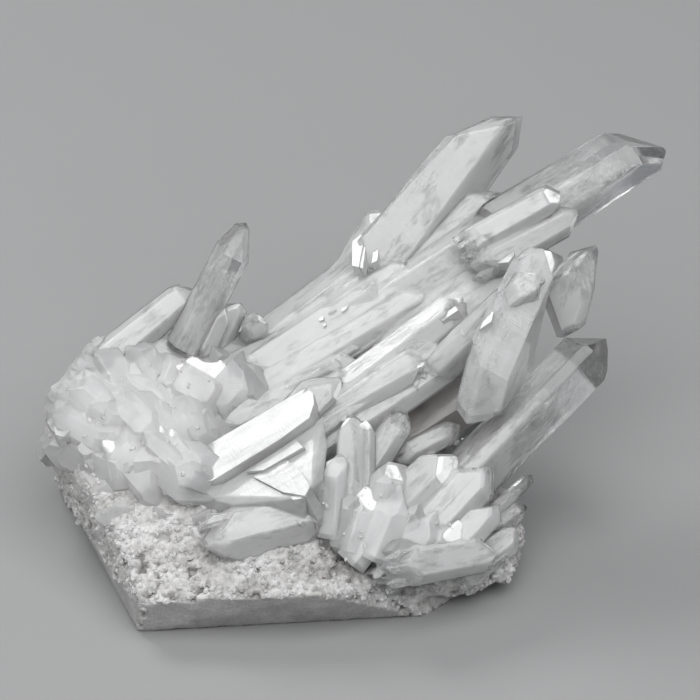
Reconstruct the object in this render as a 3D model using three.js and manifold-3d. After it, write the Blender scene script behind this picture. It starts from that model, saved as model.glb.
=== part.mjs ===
// A quartz cluster: long crystals that spray out of a sawn block of milky vein quartz.
// Millimetres, +Z up. The block stands on its flat sawn underside. The origin is the middle of the
// whole cluster's footprint box, on the surface that it stands on.
import * as THREE from "three";
import { ConvexGeometry } from "three/addons/geometries/ConvexGeometry.js";
import { mergeVertices } from "three/addons/utils/BufferGeometryUtils.js";
import Module from "manifold-3d";

const wasm = await Module();
wasm.setup();

// ---- driving dimensions -------------------------------------------------------------------
const CONTACT_GAP = 0.3; // between two crystals that grew against each other
const RHOMB_TILT = 51.8; // degrees between a termination face's normal and the crystal's long axis
const SIGHT = new THREE.Vector3(0, 0.83867, -0.54464); // rolls are measured from this direction
const CENTRE = [54.88, 49.44, 0]; // middle of the footprint box in the layout below
const FLOOR_LIFT = 4.5; // the rough right-hand shelf clears the surface by this much

// The block: the sawn underside, the overhanging sawn front, the low sawn strip on the left,
// the lobed left end, and the ridge that the long crystals root in.
const BLOCK = [
  [0, 0, 0], [72.1, 6.6, 0], [84, 18, 0], [90, 34, 0], [84, 58, 0], [66, 76, 0], [38, 88, 0],
  [8, 86, 0], [-14, 78, 0], [-23.2, 61.7, 0],
  [1.9, -4.6, 12.8], [16, -4.4, 14.2], [30.9, -4.8, 15], [45.7, -4.9, 15.2], [58.2, 0.7, 12.6], [65.8, 5.5, 8.4],
  [-2.6, 3.3, 10], [-6.1, 12.6, 10], [-9.5, 24.2, 10], [-12.4, 33.3, 10], [-18.2, 51.2, 10],
  [-22.5, 56.7, 9], [-23.9, 59, 10.3], [-25.9, 57, 14.6], [-26.2, 53.4, 20.2], [-25.4, 50, 27.3],
  [-25.6, 47, 34.9], [-25.1, 46, 39], [-20.8, 47, 45], [-14.6, 53, 50], [-12.9, 56, 50.8],
  [-8, 60, 50.3], [2, 62, 49.5], [14, 64, 49], [33, 66, 46], [52, 62, 39], [74, 58, 27], [88, 44, 17],
  [-16, 74, 36], [-8, 84, 22], [20, 89, 26], [44, 87, 24], [66, 76, 18],
];
const SHELF = [
  [73, 8.2, FLOOR_LIFT], [80, 8, FLOOR_LIFT], [86, 11, FLOOR_LIFT], [94.3, 15.2, FLOOR_LIFT],
  [96.5, 24, FLOOR_LIFT + 0.5], [97.5, 34, FLOOR_LIFT + 0.5], [90, 45, FLOOR_LIFT], [78, 32, FLOOR_LIFT],
  [73.5, 6.8, 11], [84, 9, 14], [93, 14.5, 13], [96.5, 24, 14], [96, 36, 15], [86, 40, 23], [68, 28, 26], [62, 12, 18],
];

// The broad crystal at the front: three flat steps that face the same way, each a closed outline on its own
// level, with the depth of the body under it.
const STEP_NORMAL = new THREE.Vector3(-0.3182, -0.2486, 0.9148).normalize();
const STEPS = [
  [15, [[12.5, 25.1, 36.3], [42.1, 36.2, 49.6], [43.9, 33.7, 49.6], [44.2, 30.4, 48.8], [43.0, 26.1, 47.2],
    [35.2, 21.8, 43.3], [18.8, 15.0, 35.8], [13.3, 15.2, 33.9]]],
  [9, [[27.3, 17.4, 37.0], [39.5, 23.3, 42.8], [41.6, 20.0, 42.6], [31.5, 16.2, 38.1]]],
  [14, [[29.0, 16.1, 36.3], [34.2, 19.6, 39.1], [37.4, 18.4, 39.9], [41.3, 13.1, 39.8], [43.4, 8.0, 39.2],
    [42.1, 5.4, 38.0], [36.5, 8.6, 36.9]]],
  [16, [[43.4, 25.0, 44.6], [36.3, 22.7, 40.0], [19.9, 15.9, 32.5], [28.7, 16.3, 35.5], [41.6, 13.3, 39.0],
    [43.7, 8.2, 38.4], [42.4, 5.6, 37.2], [46.5, 14, 37.0], [47.5, 22, 41], [46.5, 30, 45], [24, 11.5, 31]]],
];

// Each crystal: name, node, root and tip on its long axis, roll and taper in degrees, distances of the six
// prism faces from the axis, offsets of the six termination faces along the axis past the tip, offsets of the
// lower termination faces past the root (null where it is cut square), and how far a square end runs past the root.
const CRYSTALS = [
  ["long_point", "long_point", [88.1, 72.6, 69.7], [132.2, 101.0, 84.5], 33.5, 1.1, [8.1, 10.5, 8.8, 6.9, 8.6, 8.0], [-1.8, 2.6, 7.0, 6.7, 0.2, 3.4], null, 12],
  ["milky_point", "milky_point", [67.5, 80.0, 64.6], [93.3, 95.0, 95.2], 24.1, 2.4, [11.4, 6.8, 6.0, 10.0, 9.2, 5.5], [-1.0, 6.6, 7.2, 6.1, 0.8, 2.1], null, 12],
  ["right_crossing_point", "right_crossing_point", [106.2, 60.0, 50.0], [113.0, 67.0, 72.3], 9.2, 2.9, [8.5, 8.7, 10.4, 4.9, 7.7, 8.8], [-2.4, 6.0, 4.1, 4.9, 3.9, 5.7], [1.4, 9.3, 7.2, -1.2, 0.0, -10.6], 0],
  ["right_point", "right_point", [75.8, 21.5, 22.4], [115.9, 48.0, 53.5], 18.1, 0.1, [5.8, 8.6, 5.2, 6.7, 6.6, 9.2], [4.3, 8.6, 4.4, 4.1, 1.5, 8.7], null, 0],
  ["left_clear_point", "left_clear_point", [10.7, 61.0, 49.1], [25.3, 71.5, 75.8], 38.1, -0, [3.8, 5.3, 6.1, 3.9, 4.6, 2.9], [-1.5, -0.9, 0.6, 4.9, 4.1, 3.3], null, 4],
  ["crossing_blade", "crossing_blade", [86.6, 31.0, 48.7], [106.6, 64.0, 77.7], -17.1, 1.4, [7.0, 13.0, 5.7, 4.6, 15.4, 11.1], [0.0, 0.0, 0.3, 0.0, -13.8, 0.0], [11.8, 3.9, 0.7, 5.8, 8.2, 11.0], 0],
  ["S0", "main_spray", [30.8, 66.0, 36.5], [85.8, 88.0, 72.0], 28, 0.3, [9.3, 8.0, 8.9, 8.5, 7.9, 9.2], [4.6, 2.6, 3.7, 1.6, 6.7, -0.4], null, 8],
  ["S10", "main_spray", [38.2, 60.0, 44.8], [72.4, 76.0, 62.2], 12, 1, [6.4, 7.2, 7.6, 6.6, 7.3, 6.9], [0.1, 7.4, -1.5, 2.5, -1.0, 6.2], null, 12],
  ["S1b", "main_spray", [27.4, 56.0, 41.3], [67.5, 72.0, 55.9], 35, 1.5, [5.9, 5.8, 5.7, 6.8, 6.8, 5.6], [0.5, 5.1, -0.5, 4.0, 0.9, 3.8], null, 10],
  ["S1", "main_spray", [37.8, 52.0, 42.3], [74.3, 67.0, 58.7], 8, 1.4, [5.3, 5.1, 4.5, 4.4, 4.7, 5.2], [-0.5, 3.8, 1.0, 1.6, -0.0, 4.2], null, 10],
  ["S2", "main_spray", [79.1, 47.0, 52.0], [100.9, 49.5, 75.3], 20, 0.6, [4.5, 4.8, 3.8, 4.3, 4.2, 4.0], [3.0, 0.2, 2.1, 0.0, 3.6, -1.1], null, 7],
  ["S3", "main_spray", [70.0, 62.0, 50.3], [99.7, 76.0, 69.8], 5, 0.5, [7.2, 5.6, 5.8, 6.3, 7.2, 5.8], [-1.6, 3.3, -2.3, 4.9, -2.2, 6.6], null, 12],
  ["S3b", "main_spray", [64.8, 66.0, 58.1], [97.6, 79.0, 74.3], 30, 0.4, [6.8, 6.5, 6.5, 6.9, 6.5, 5.8], [2.1, 2.6, 1.3, 2.9, -1.5, 1.9], null, 12],
  ["S9", "main_spray", [59.7, 74.0, 54.9], [92.2, 88.0, 75.0], 15, 0.5, [7.1, 6.7, 5.9, 6.2, 6.1, 5.8], [1.6, 4.0, 0.3, 4.5, 0.0, 3.8], null, 10],
  ["S4", "main_spray", [57.0, 46.0, 46.0], [82.3, 58.0, 61.0], 40, 0.6, [4.9, 5.2, 5.1, 4.6, 4.9, 4.4], [3.2, -0.0, 5.1, 1.5, 3.2, 0.4], null, 10],
  ["S5", "main_spray", [71.2, 58.0, 48.2], [109.1, 76.0, 66.2], 22, 1.1, [8.2, 7.4, 7.8, 7.4, 6.9, 8.1], [6.1, -2.4, 4.6, -0.1, 3.5, -2.6], null, 12],
  ["S6", "main_spray", [50.2, 35.0, 36.2], [84.3, 52.0, 51.8], 10, 0.8, [4.5, 4.6, 5.0, 5.2, 5.3, 4.5], [1.5, 2.3, -1.3, 2.7, 0.6, 1.6], null, 10],
  ["S6b", "main_spray", [48.1, 38.0, 41.0], [79.3, 56.0, 55.3], 33, 1.3, [5.0, 6.1, 6.0, 4.9, 5.0, 5.6], [2.6, -0.9, 4.7, -2.0, 5.1, 1.7], null, 10],
  ["S7", "main_spray", [30.7, 44.0, 38.1], [56.8, 50.0, 48.9], 15, 0.5, [4.3, 4.4, 4.4, 4.9, 4.7, 5.4], [1.9, -1.7, 4.0, -0.2, 3.6, -0.9], null, 10],
  ["S8", "main_spray", [51.9, 38.0, 43.1], [72.0, 45.0, 52.1], 5, 0.5, [4.0, 3.4, 3.7, 4.0, 3.9, 3.9], [2.5, 1.0, 1.3, -1.1, 1.0, 0.0], null, 8],
  ["E1", "main_spray", [86.4, 68.0, 74.3], [107.7, 75.0, 84.1], 20, 0.5, [3.8, 3.7, 3.6, 3.9, 3.1, 3.2], [2.1, -0.9, 2.2, -1.0, 1.5, -0.2], null, 4],
  ["E2", "main_spray", [91.6, 67.0, 70.8], [112.0, 76.0, 77.9], 35, 1.5, [3.9, 4.7, 4.8, 4.8, 4.3, 4.4], [0.0, 2.2, -0.1, 2.2, -1.1, 4.4], null, 6],
  ["N1", "main_spray", [55.0, 80.0, 52.7], [55.5, 81.5, 67.1], 10, 1.4, [2.2, 1.8, 2.1, 1.9, 2.0, 1.9], [1.1, -0.5, 1.4, 0.5, 1.0, -0.8], null, 3],
  ["N2", "main_spray", [52.2, 80.0, 55.5], [62.3, 87.0, 71.4], 25, 0.9, [4.1, 4.1, 3.5, 3.4, 3.7, 3.3], [3.7, -0.3, 3.5, -1.3, 3.3, 0.4], null, 4],
  ["N3", "main_spray", [57.9, 78.0, 52.4], [59.9, 79.5, 65.3], 0, 1.2, [1.8, 1.7, 1.7, 1.5, 1.7, 1.4], [0.4, 0.0, 1.7, -0.5, 1.5, -0.4], null, 3],
  ["K2", "lower_right_points", [68.7, 8.0, 20.2], [88.8, 23.0, 35.3], 20, 0.6, [6.1, 5.0, 5.2, 5.8, 5.7, 5.7], [-0.7, 5.8, 0.4, 1.6, -0.3, 3.0], null, 0],
  ["K2b", "lower_right_points", [60.7, 14.0, 23.9], [79.9, 26.0, 36.9], 0, 0.8, [5.7, 5.2, 6.0, 5.6, 5.6, 5.9], [-0.6, 2.4, -2.1, 4.8, 0.5, 5.6], null, 0],
  ["Q", "lower_right_points", [78.7, 8.0, 19.6], [90.0, 17.0, 28.2], 10, 0.5, [4.8, 4.0, 4.3, 4.1, 4.8, 4.4], [-1.5, 4.3, 1.2, 1.3, 0.3, 3.4], null, 0],
  ["P", "lower_right_points", [71.9, 3.0, 19.6], [90.3, 11.0, 17.7], 30, 0.6, [5.4, 4.6, 4.8, 4.8, 4.8, 5.6], [-1.0, 4.7, 1.3, 3.5, -1.1, 4.8], null, 0],
  ["R", "lower_right_points", [86.0, 14.0, 12.1], [96.4, 23.0, 15.2], 15, 0.6, [4.0, 4.0, 4.2, 3.9, 3.8, 4.1], [0.1, 2.3, -0.5, 1.9, -1.0, 3.9], null, 0],
  ["S", "side_point_upper", [88.1, 22.0, 19.4], [99.7, 31.0, 26.1], 0, 1.3, [2.2, 2.0, 1.9, 1.8, 1.8, 2.1], [0.5, 1.0, -0.6, 1.5, 0.3, 0.9], null, 0],
  ["Sb", "side_point_lower", [89.1, 20.0, 17.7], [97.9, 27.0, 20.5], 30, 0.9, [2.3, 2.9, 2.3, 2.9, 2.3, 2.3], [2.6, -0.0, 0.9, 0.4, 0.9, -0.8], null, 0],
  ["T1", "gap_point_left", [57.7, 24.0, 33.4], [67.3, 33.0, 44.3], 20, 0.9, [3.3, 3.4, 3.5, 4.1, 3.5, 3.8], [3.4, -0.7, 1.1, 1.0, 1.5, 1.1], null, 0],
  ["T2", "gap_point_right", [69.7, 32.0, 33.4], [81.5, 39.0, 35.7], 10, 1.2, [3.1, 3.0, 2.9, 2.9, 2.7, 3.1], [0.6, 2.0, -0.3, 2.9, -0.4, 2.7], null, 0],
  ["V1", "upright_points", [52.0, 12.0, 25.3], [53.7, 27.0, 47.8], 5, 1.1, [3.6, 3.4, 4.1, 4.1, 4.0, 4.0], [-0.5, 3.7, -0.7, 1.5, 1.1, 1.1], null, 2],
  ["V2", "upright_points", [56.2, 15.0, 27.5], [56.7, 27.0, 45.7], 30, 0.5, [3.0, 2.7, 2.8, 2.9, 3.2, 3.0], [2.0, 0.4, 0.8, -0.3, 2.6, 0.3], null, 2],
  ["F0", "front_dome_point", [39.6, 33.0, 40.7], [49.9, 40.0, 49.7], 20, 0.5, [5.6, 5.5, 5.4, 4.9, 4.8, 6.1], [0.1, 4.1, 1.3, 4.8, 0.6, 4.5], null, 6],
  ["F2", "front_base_point", [24.5, 9.0, 25.0], [47.7, 16.0, 26.8], 15, 1.6, [5.9, 7.0, 6.9, 7.1, 7.1, 6.7], [6.6, 2.0, 3.2, 2.1, 6.7, -1.6], null, 0],
  ["H", "left_point", [-8.9, 55.0, 45.9], [13.4, 69.0, 58.7], 25, 1.1, [4.8, 4.3, 4.1, 4.4, 4.4, 4.0], [4.1, 0.1, 3.2, 0.6, 3.5, -1.0], null, 5],
  ["B", "left_stub", [27.0, 71.0, 37.6], [29.4, 59.0, 55.5], 0, 0.7, [3.6, 3.2, 3.2, 3.4, 3.0, 3.4], [0.3, 1.4, -0.5, 2.4, -0.4, 0.9], null, 0],
  ["G2", "left_side_points", [14.5, 60.0, 47.0], [20.3, 64.0, 58.1], 10, 1.5, [3.8, 3.6, 4.2, 4.3, 3.5, 3.5], [2.5, 0.9, 2.8, 0.0, 1.5, -1.2], null, 3],
  ["G3", "left_side_points", [18.3, 62.0, 44.1], [24.9, 66.0, 56.9], 30, 0.9, [2.9, 2.8, 2.9, 3.1, 3.5, 3.2], [-0.8, 1.3, 0.6, 2.2, -0.9, 1.2], null, 3],
  ["L1", "matrix", [-3.1, 46.0, 39.3], [-11.5, 57.0, 49.5], 0, 1.4, [5.3, 5.6, 4.4, 4.6, 5.1, 5.1], [-0.9, 3.4, 0.8, 4.2, -0.5, 1.6], null, 0],
  ["L2", "matrix", [-7.2, 38.0, 38.5], [-19.3, 47.0, 44.7], 10, 1.1, [4.4, 4.5, 5.2, 5.6, 5.4, 5.5], [-1.1, 2.7, -0.3, 3.5, 1.0, 2.2], null, 0],
  ["L3", "matrix", [-9.2, 34.0, 35.1], [-24.2, 44.0, 38.4], 20, 1.3, [4.7, 5.4, 4.8, 5.0, 5.1, 5.3], [-1.5, 3.0, -1.5, 2.6, 0.8, 2.5], null, 0],
  ["L4", "matrix", [-9.1, 34.0, 29.5], [-24.6, 48.0, 25.2], 30, 0.4, [4.5, 3.7, 4.0, 3.8, 4.0, 3.7], [3.9, -0.1, 1.6, -1.1, 2.8, -1.2], null, 0],
  ["L5", "matrix", [1.8, 52.0, 39.9], [-5.5, 60.0, 49.4], 15, 1.1, [6.2, 5.6, 6.6, 5.5, 6.6, 6.3], [1.0, 2.8, 1.6, 2.9, -0.5, 2.9], null, 0],
  ["L6", "matrix", [7.5, 48.0, 37.3], [2.2, 58.0, 46.7], 5, 0.9, [7.0, 6.3, 6.4, 6.2, 7.2, 5.9], [5.4, -2.2, 2.1, 1.9, 3.4, -2.1], null, 0],
  ["L7", "matrix", [16.1, 46.0, 37.7], [12.5, 58.0, 46.7], 25, 0.3, [9.0, 8.6, 8.3, 8.1, 8.6, 7.5], [0.9, 4.6, -2.7, 5.8, -2.4, 2.1], null, 0],
  ["L8", "matrix", [23.8, 46.0, 38.6], [24.4, 57.0, 47.4], 12, 0.7, [6.7, 6.6, 6.9, 6.8, 6.3, 7.3], [-1.5, 4.9, 0.5, 4.9, 2.1, 6.8], null, 0],
  ["L9", "matrix", [2.4, 36.0, 36.8], [-7.6, 47.0, 42.3], 33, 1.3, [5.8, 6.1, 6.0, 6.9, 6.4, 6.0], [2.1, 5.3, -0.4, 6.1, -1.9, 6.6], null, 0],
  ["L10", "matrix", [13.2, 33.0, 35.8], [6.0, 44.0, 41.5], 18, 1.3, [5.7, 7.2, 7.0, 6.2, 6.8, 6.9], [2.3, -1.1, 3.3, 0.2, 4.9, 1.8], null, 0],
  ["L11", "matrix", [-5.0, 28.0, 30.0], [-20.7, 42.0, 28.1], 8, 0.9, [5.5, 5.3, 5.8, 5.8, 5.5, 5.5], [1.4, 3.3, -0.3, 1.6, 1.6, 4.0], null, 0],
  ["L12", "matrix", [2.8, 24.0, 29.7], [-9.0, 36.0, 36.8], 28, 1.4, [6.0, 6.1, 5.7, 6.6, 6.6, 7.0], [3.6, -1.0, 5.1, 1.7, 5.1, 1.1], null, 0],
  ["L13", "matrix", [15.6, 20.0, 32.5], [2.5, 34.0, 35.1], 2, 1.4, [7.8, 7.1, 6.3, 7.6, 6.8, 7.8], [5.1, 1.9, 1.9, 2.2, 3.1, -2.4], null, 0],
  ["U1", "under_spray_point", [58, 46, 24], [92, 58, 42], 12, 0.8, [8.6, 7.8, 9.2, 8.4, 7.6, 9.0], [0, 3.4, -0.8, 2.6, 0.6, 4.2], null, 0],
  ["BK1", "back_point_1", [22, 72, 26], [8, 96, 39], 20, 0.8, [5.2, 4.6, 5.6, 5, 4.8, 5.4], [0, 3, 0.5, 2.6, -0.4, 3.4], null, 0],
  ["BK2", "back_point_2", [42, 74, 26], [45, 99, 37], 35, 0.9, [6.2, 5.6, 5.4, 6.4, 5.8, 5.2], [0.4, 3.6, -0.6, 2.8, 0.8, 3.2], null, 0],
  ["BK3", "back_point_3", [60, 66, 22], [88, 93, 43], 10, 0.8, [5.4, 5.0, 4.6, 5.8, 5.2, 4.8], [-0.5, 2.8, 0.6, 3.4, 0, 2.4], null, 0],
  ["BK4", "back_point_4", [4, 74, 19], [-12, 93, 25], 0, 1.2, [4.6, 4.2, 5, 4.4, 4.8, 4], [0, 2.4, 0.8, 3, 0.2, 2.6], null, 0],
  ["BK5", "back_point_5", [30, 78, 14], [24, 102, 30], 28, 1.0, [5.6, 5.0, 5.2, 5.4, 4.8, 5.8], [0.6, 3.2, 0, 2.6, -0.4, 3.6], null, 0],
  ["BK6", "back_point_6", [56, 72, 10], [66, 95, 22], 15, 1.1, [4.6, 4.9, 4.2, 4.7, 4.4, 5.0], [0, 2.8, 0.5, 2.2, 0.4, 3], null, 0],
  ["BK7", "back_point_7", [76, 54, 12], [101, 72, 26], 40, 0.9, [4.8, 5.2, 4.4, 4.9, 5.1, 4.5], [0.3, 2.6, -0.3, 3.1, 0.7, 2.5], null, 0],
];

// Nodes in the order that they are finished in: each is trimmed back from those before it.
const NODES = [
  ["matrix", 0xb9b6b2, 0.85],
  ["front_tabular", 0xdfe1e3, 0.12],
  ["front_base_point", 0xcfd0d0, 0.25],
  ["front_dome_point", 0xd2d4d5, 0.2],
  ["upright_points", 0xcfd1d2, 0.2],
  ["main_spray", 0xc9cbcc, 0.15],
  ["crossing_blade", 0xb8bab9, 0.15],
  ["right_crossing_point", 0xa9abab, 0.15],
  ["right_point", 0x9b9c9c, 0.1],
  ["lower_right_points", 0xa8a7a8, 0.2],
  ["side_point_upper", 0x8f8c89, 0.2],
  ["side_point_lower", 0x8f8c89, 0.2],
  ["gap_point_left", 0xa39b97, 0.15],
  ["gap_point_right", 0xa39b97, 0.15],
  ["under_spray_point", 0xa39b97, 0.2],
  ["long_point", 0xa5a7a7, 0.1],
  ["milky_point", 0xb9bcbd, 0.15],
  ["left_clear_point", 0xb4b6b7, 0.08],
  ["left_point", 0xbcbebe, 0.15],
  ["left_stub", 0xc4c6c6, 0.2],
  ["left_side_points", 0xbcbebe, 0.2],
  ["back_point_1", 0xbfc1c1, 0.2],
  ["back_point_2", 0xbfc1c1, 0.2],
  ["back_point_3", 0xbfc1c1, 0.2],
  ["back_point_4", 0xbfc1c1, 0.2],
  ["back_point_5", 0xbfc1c1, 0.2],
  ["back_point_6", 0xbfc1c1, 0.2],
  ["back_point_7", 0xbfc1c1, 0.2],
];

// ---- shapes -------------------------------------------------------------------------------
const toRad = Math.PI / 180;

// The half-spaces that bound one crystal, each as [normal, distance]; grow moves every face outwards.
function facesOf([, , root, tip, roll, taper, prism, top, bottom, tail], grow = 0) {
  const P = new THREE.Vector3(...root);
  const axis = new THREE.Vector3(...tip).sub(P);
  const length = axis.length();
  axis.normalize();
  let side = new THREE.Vector3().crossVectors(SIGHT, axis).normalize();
  let front = new THREE.Vector3().crossVectors(axis, side);
  if (front.dot(SIGHT) > 0) {
    front.negate();
    side.negate();
  }
  const faces = [];
  const add = (n, point, d) => faces.push([n, n.dot(point) + d + grow]);
  const radial = (k) => {
    const a = (roll + 60 * k) * toRad;
    return side.clone().multiplyScalar(Math.cos(a)).addScaledVector(front, Math.sin(a));
  };
  const ct = Math.cos(taper * toRad), st = Math.sin(taper * toRad);
  const cr = Math.cos(RHOMB_TILT * toRad), sr = Math.sin(RHOMB_TILT * toRad);
  for (let k = 0; k < 6; k++) {
    add(radial(k).multiplyScalar(ct).addScaledVector(axis, st), P, prism[k]);
    add(radial(k).multiplyScalar(sr).addScaledVector(axis, cr), P, cr * (length + top[k]));
    if (bottom) add(radial(k).multiplyScalar(sr).addScaledVector(axis, -cr), P, cr * bottom[k]);
  }
  if (!bottom) add(axis.clone().negate(), P, tail);
  return faces;
}

// Corners of the convex body inside a set of half-spaces.
function cornersOf(faces) {
  const corners = [];
  const m = new THREE.Matrix3();
  for (let i = 0; i < faces.length; i++)
    for (let j = i + 1; j < faces.length; j++)
      for (let k = j + 1; k < faces.length; k++) {
        const [a, da] = faces[i], [b, db] = faces[j], [c, dc] = faces[k];
        m.set(a.x, a.y, a.z, b.x, b.y, b.z, c.x, c.y, c.z);
        if (Math.abs(m.determinant()) < 1e-6) continue;
        const p = new THREE.Vector3(da, db, dc).applyMatrix3(m.invert());
        if (faces.every(([n, d]) => n.dot(p) <= d + 1e-6) && !corners.some((q) => q.distanceTo(p) < 1e-3))
          corners.push(p);
      }
  return corners;
}

// A three.js geometry as a solid, and a solid as a three.js geometry.
function solidOf(geometry) {
  const g = geometry.clone();
  g.deleteAttribute("normal");
  g.deleteAttribute("uv");
  const merged = mergeVertices(g, 1e-4);
  return new wasm.Manifold(
    new wasm.Mesh({
      numProp: 3,
      vertProperties: new Float32Array(merged.attributes.position.array),
      triVerts: new Uint32Array(merged.index.array),
    }),
  );
}
function geometryOf(solid) {
  const mesh = solid.getMesh();
  const position = new Float32Array(mesh.numVert * 3);
  for (let i = 0; i < mesh.numVert; i++)
    for (let k = 0; k < 3; k++) position[3 * i + k] = mesh.vertProperties[i * mesh.numProp + k];
  const g = new THREE.BufferGeometry();
  g.setAttribute("position", new THREE.BufferAttribute(position, 3));
  g.setIndex(new THREE.BufferAttribute(new Uint32Array(mesh.triVerts), 1));
  g.translate(-CENTRE[0], -CENTRE[1], -CENTRE[2]);
  const flat = g.toNonIndexed();
  flat.computeVertexNormals();
  return flat;
}
const crystalSolid = (row, grow = 0) => solidOf(new ConvexGeometry(cornersOf(facesOf(row, grow))));
function hullSolid(points, grow = 0) {
  const all = [];
  for (const p of points) {
    if (!grow) all.push(new THREE.Vector3(...p));
    else
      for (const dx of [-grow, grow])
        for (const dy of [-grow, grow])
          for (const dz of [-grow, grow]) all.push(new THREE.Vector3(p[0] + dx, p[1] + dy, p[2] + dz));
  }
  return solidOf(new ConvexGeometry(all));
}
const joined = (solids) => solids.reduce((a, b) => a.add(b));

// The largest piece of a solid: trimming can leave slivers behind, which are not part of the crystal.
function largest(solid) {
  const parts = solid.decompose();
  return parts.reduce((a, b) => (b.volume() > a.volume() ? b : a));
}

// ---- the cluster --------------------------------------------------------------------------
const cluster = new THREE.Group();
cluster.name = "quartz_cluster";
let finished = null; // everything made so far, grown by the contact gap
for (const [node, colour, roughness] of NODES) {
  const rows = CRYSTALS.filter((row) => row[1] === node);
  const plain = rows.map((row) => crystalSolid(row));
  const grown = rows.map((row) => crystalSolid(row, CONTACT_GAP));
  if (node === "matrix") {
    // the block's underside stays at the level of the surface, whatever roots reach below it
    plain.unshift(hullSolid(BLOCK), hullSolid(SHELF));
    grown.unshift(hullSolid(BLOCK, CONTACT_GAP), hullSolid(SHELF, CONTACT_GAP));
  }
  if (node === "front_tabular") {
    for (const [depth, top] of STEPS) {
      const low = top.map((p) => new THREE.Vector3(...p).addScaledVector(STEP_NORMAL, -depth).add(new THREE.Vector3(0, 3, 0)).toArray());
      plain.push(hullSolid([...top, ...low]));
      grown.push(hullSolid([...top, ...low], CONTACT_GAP));
    }
  }
  let solid = joined(plain);
  if (finished) solid = solid.subtract(finished);
  solid = largest(solid);
  finished = finished ? finished.add(joined(grown)) : joined(grown);
  const mesh = new THREE.Mesh(
    geometryOf(solid),
    new THREE.MeshStandardMaterial({ color: colour, roughness, metalness: 0 }),
  );
  mesh.name = node;
  cluster.add(mesh);
}

export default cluster;
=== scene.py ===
import math
import random
from itertools import combinations

import bmesh
import bpy
import numpy as np
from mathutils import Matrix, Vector, noise


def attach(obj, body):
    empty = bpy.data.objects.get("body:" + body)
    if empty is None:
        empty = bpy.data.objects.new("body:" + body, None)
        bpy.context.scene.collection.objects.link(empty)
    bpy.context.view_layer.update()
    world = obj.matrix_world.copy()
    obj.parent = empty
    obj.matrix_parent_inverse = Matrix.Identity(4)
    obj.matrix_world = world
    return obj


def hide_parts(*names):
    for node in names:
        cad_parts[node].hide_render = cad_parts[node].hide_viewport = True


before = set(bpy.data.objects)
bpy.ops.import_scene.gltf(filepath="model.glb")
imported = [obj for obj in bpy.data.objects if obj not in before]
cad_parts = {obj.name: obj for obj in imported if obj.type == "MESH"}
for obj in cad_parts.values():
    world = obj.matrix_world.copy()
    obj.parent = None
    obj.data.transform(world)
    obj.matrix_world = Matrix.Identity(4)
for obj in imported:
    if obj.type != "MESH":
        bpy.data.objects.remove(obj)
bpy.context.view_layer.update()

# A quartz cluster. Lengths in the tables are millimetres in the layout frame of the part's source, whose origin
# lies CENTRE away from the row frame's; everything that goes into a mesh is in metres in the row frame.
MM = 0.001
CENTRE = np.array([54.88, 49.44, 0.0])
SIGHT = np.array([0.0, 0.83867, -0.54464])
RHOMB_TILT = math.radians(51.8)

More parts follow.
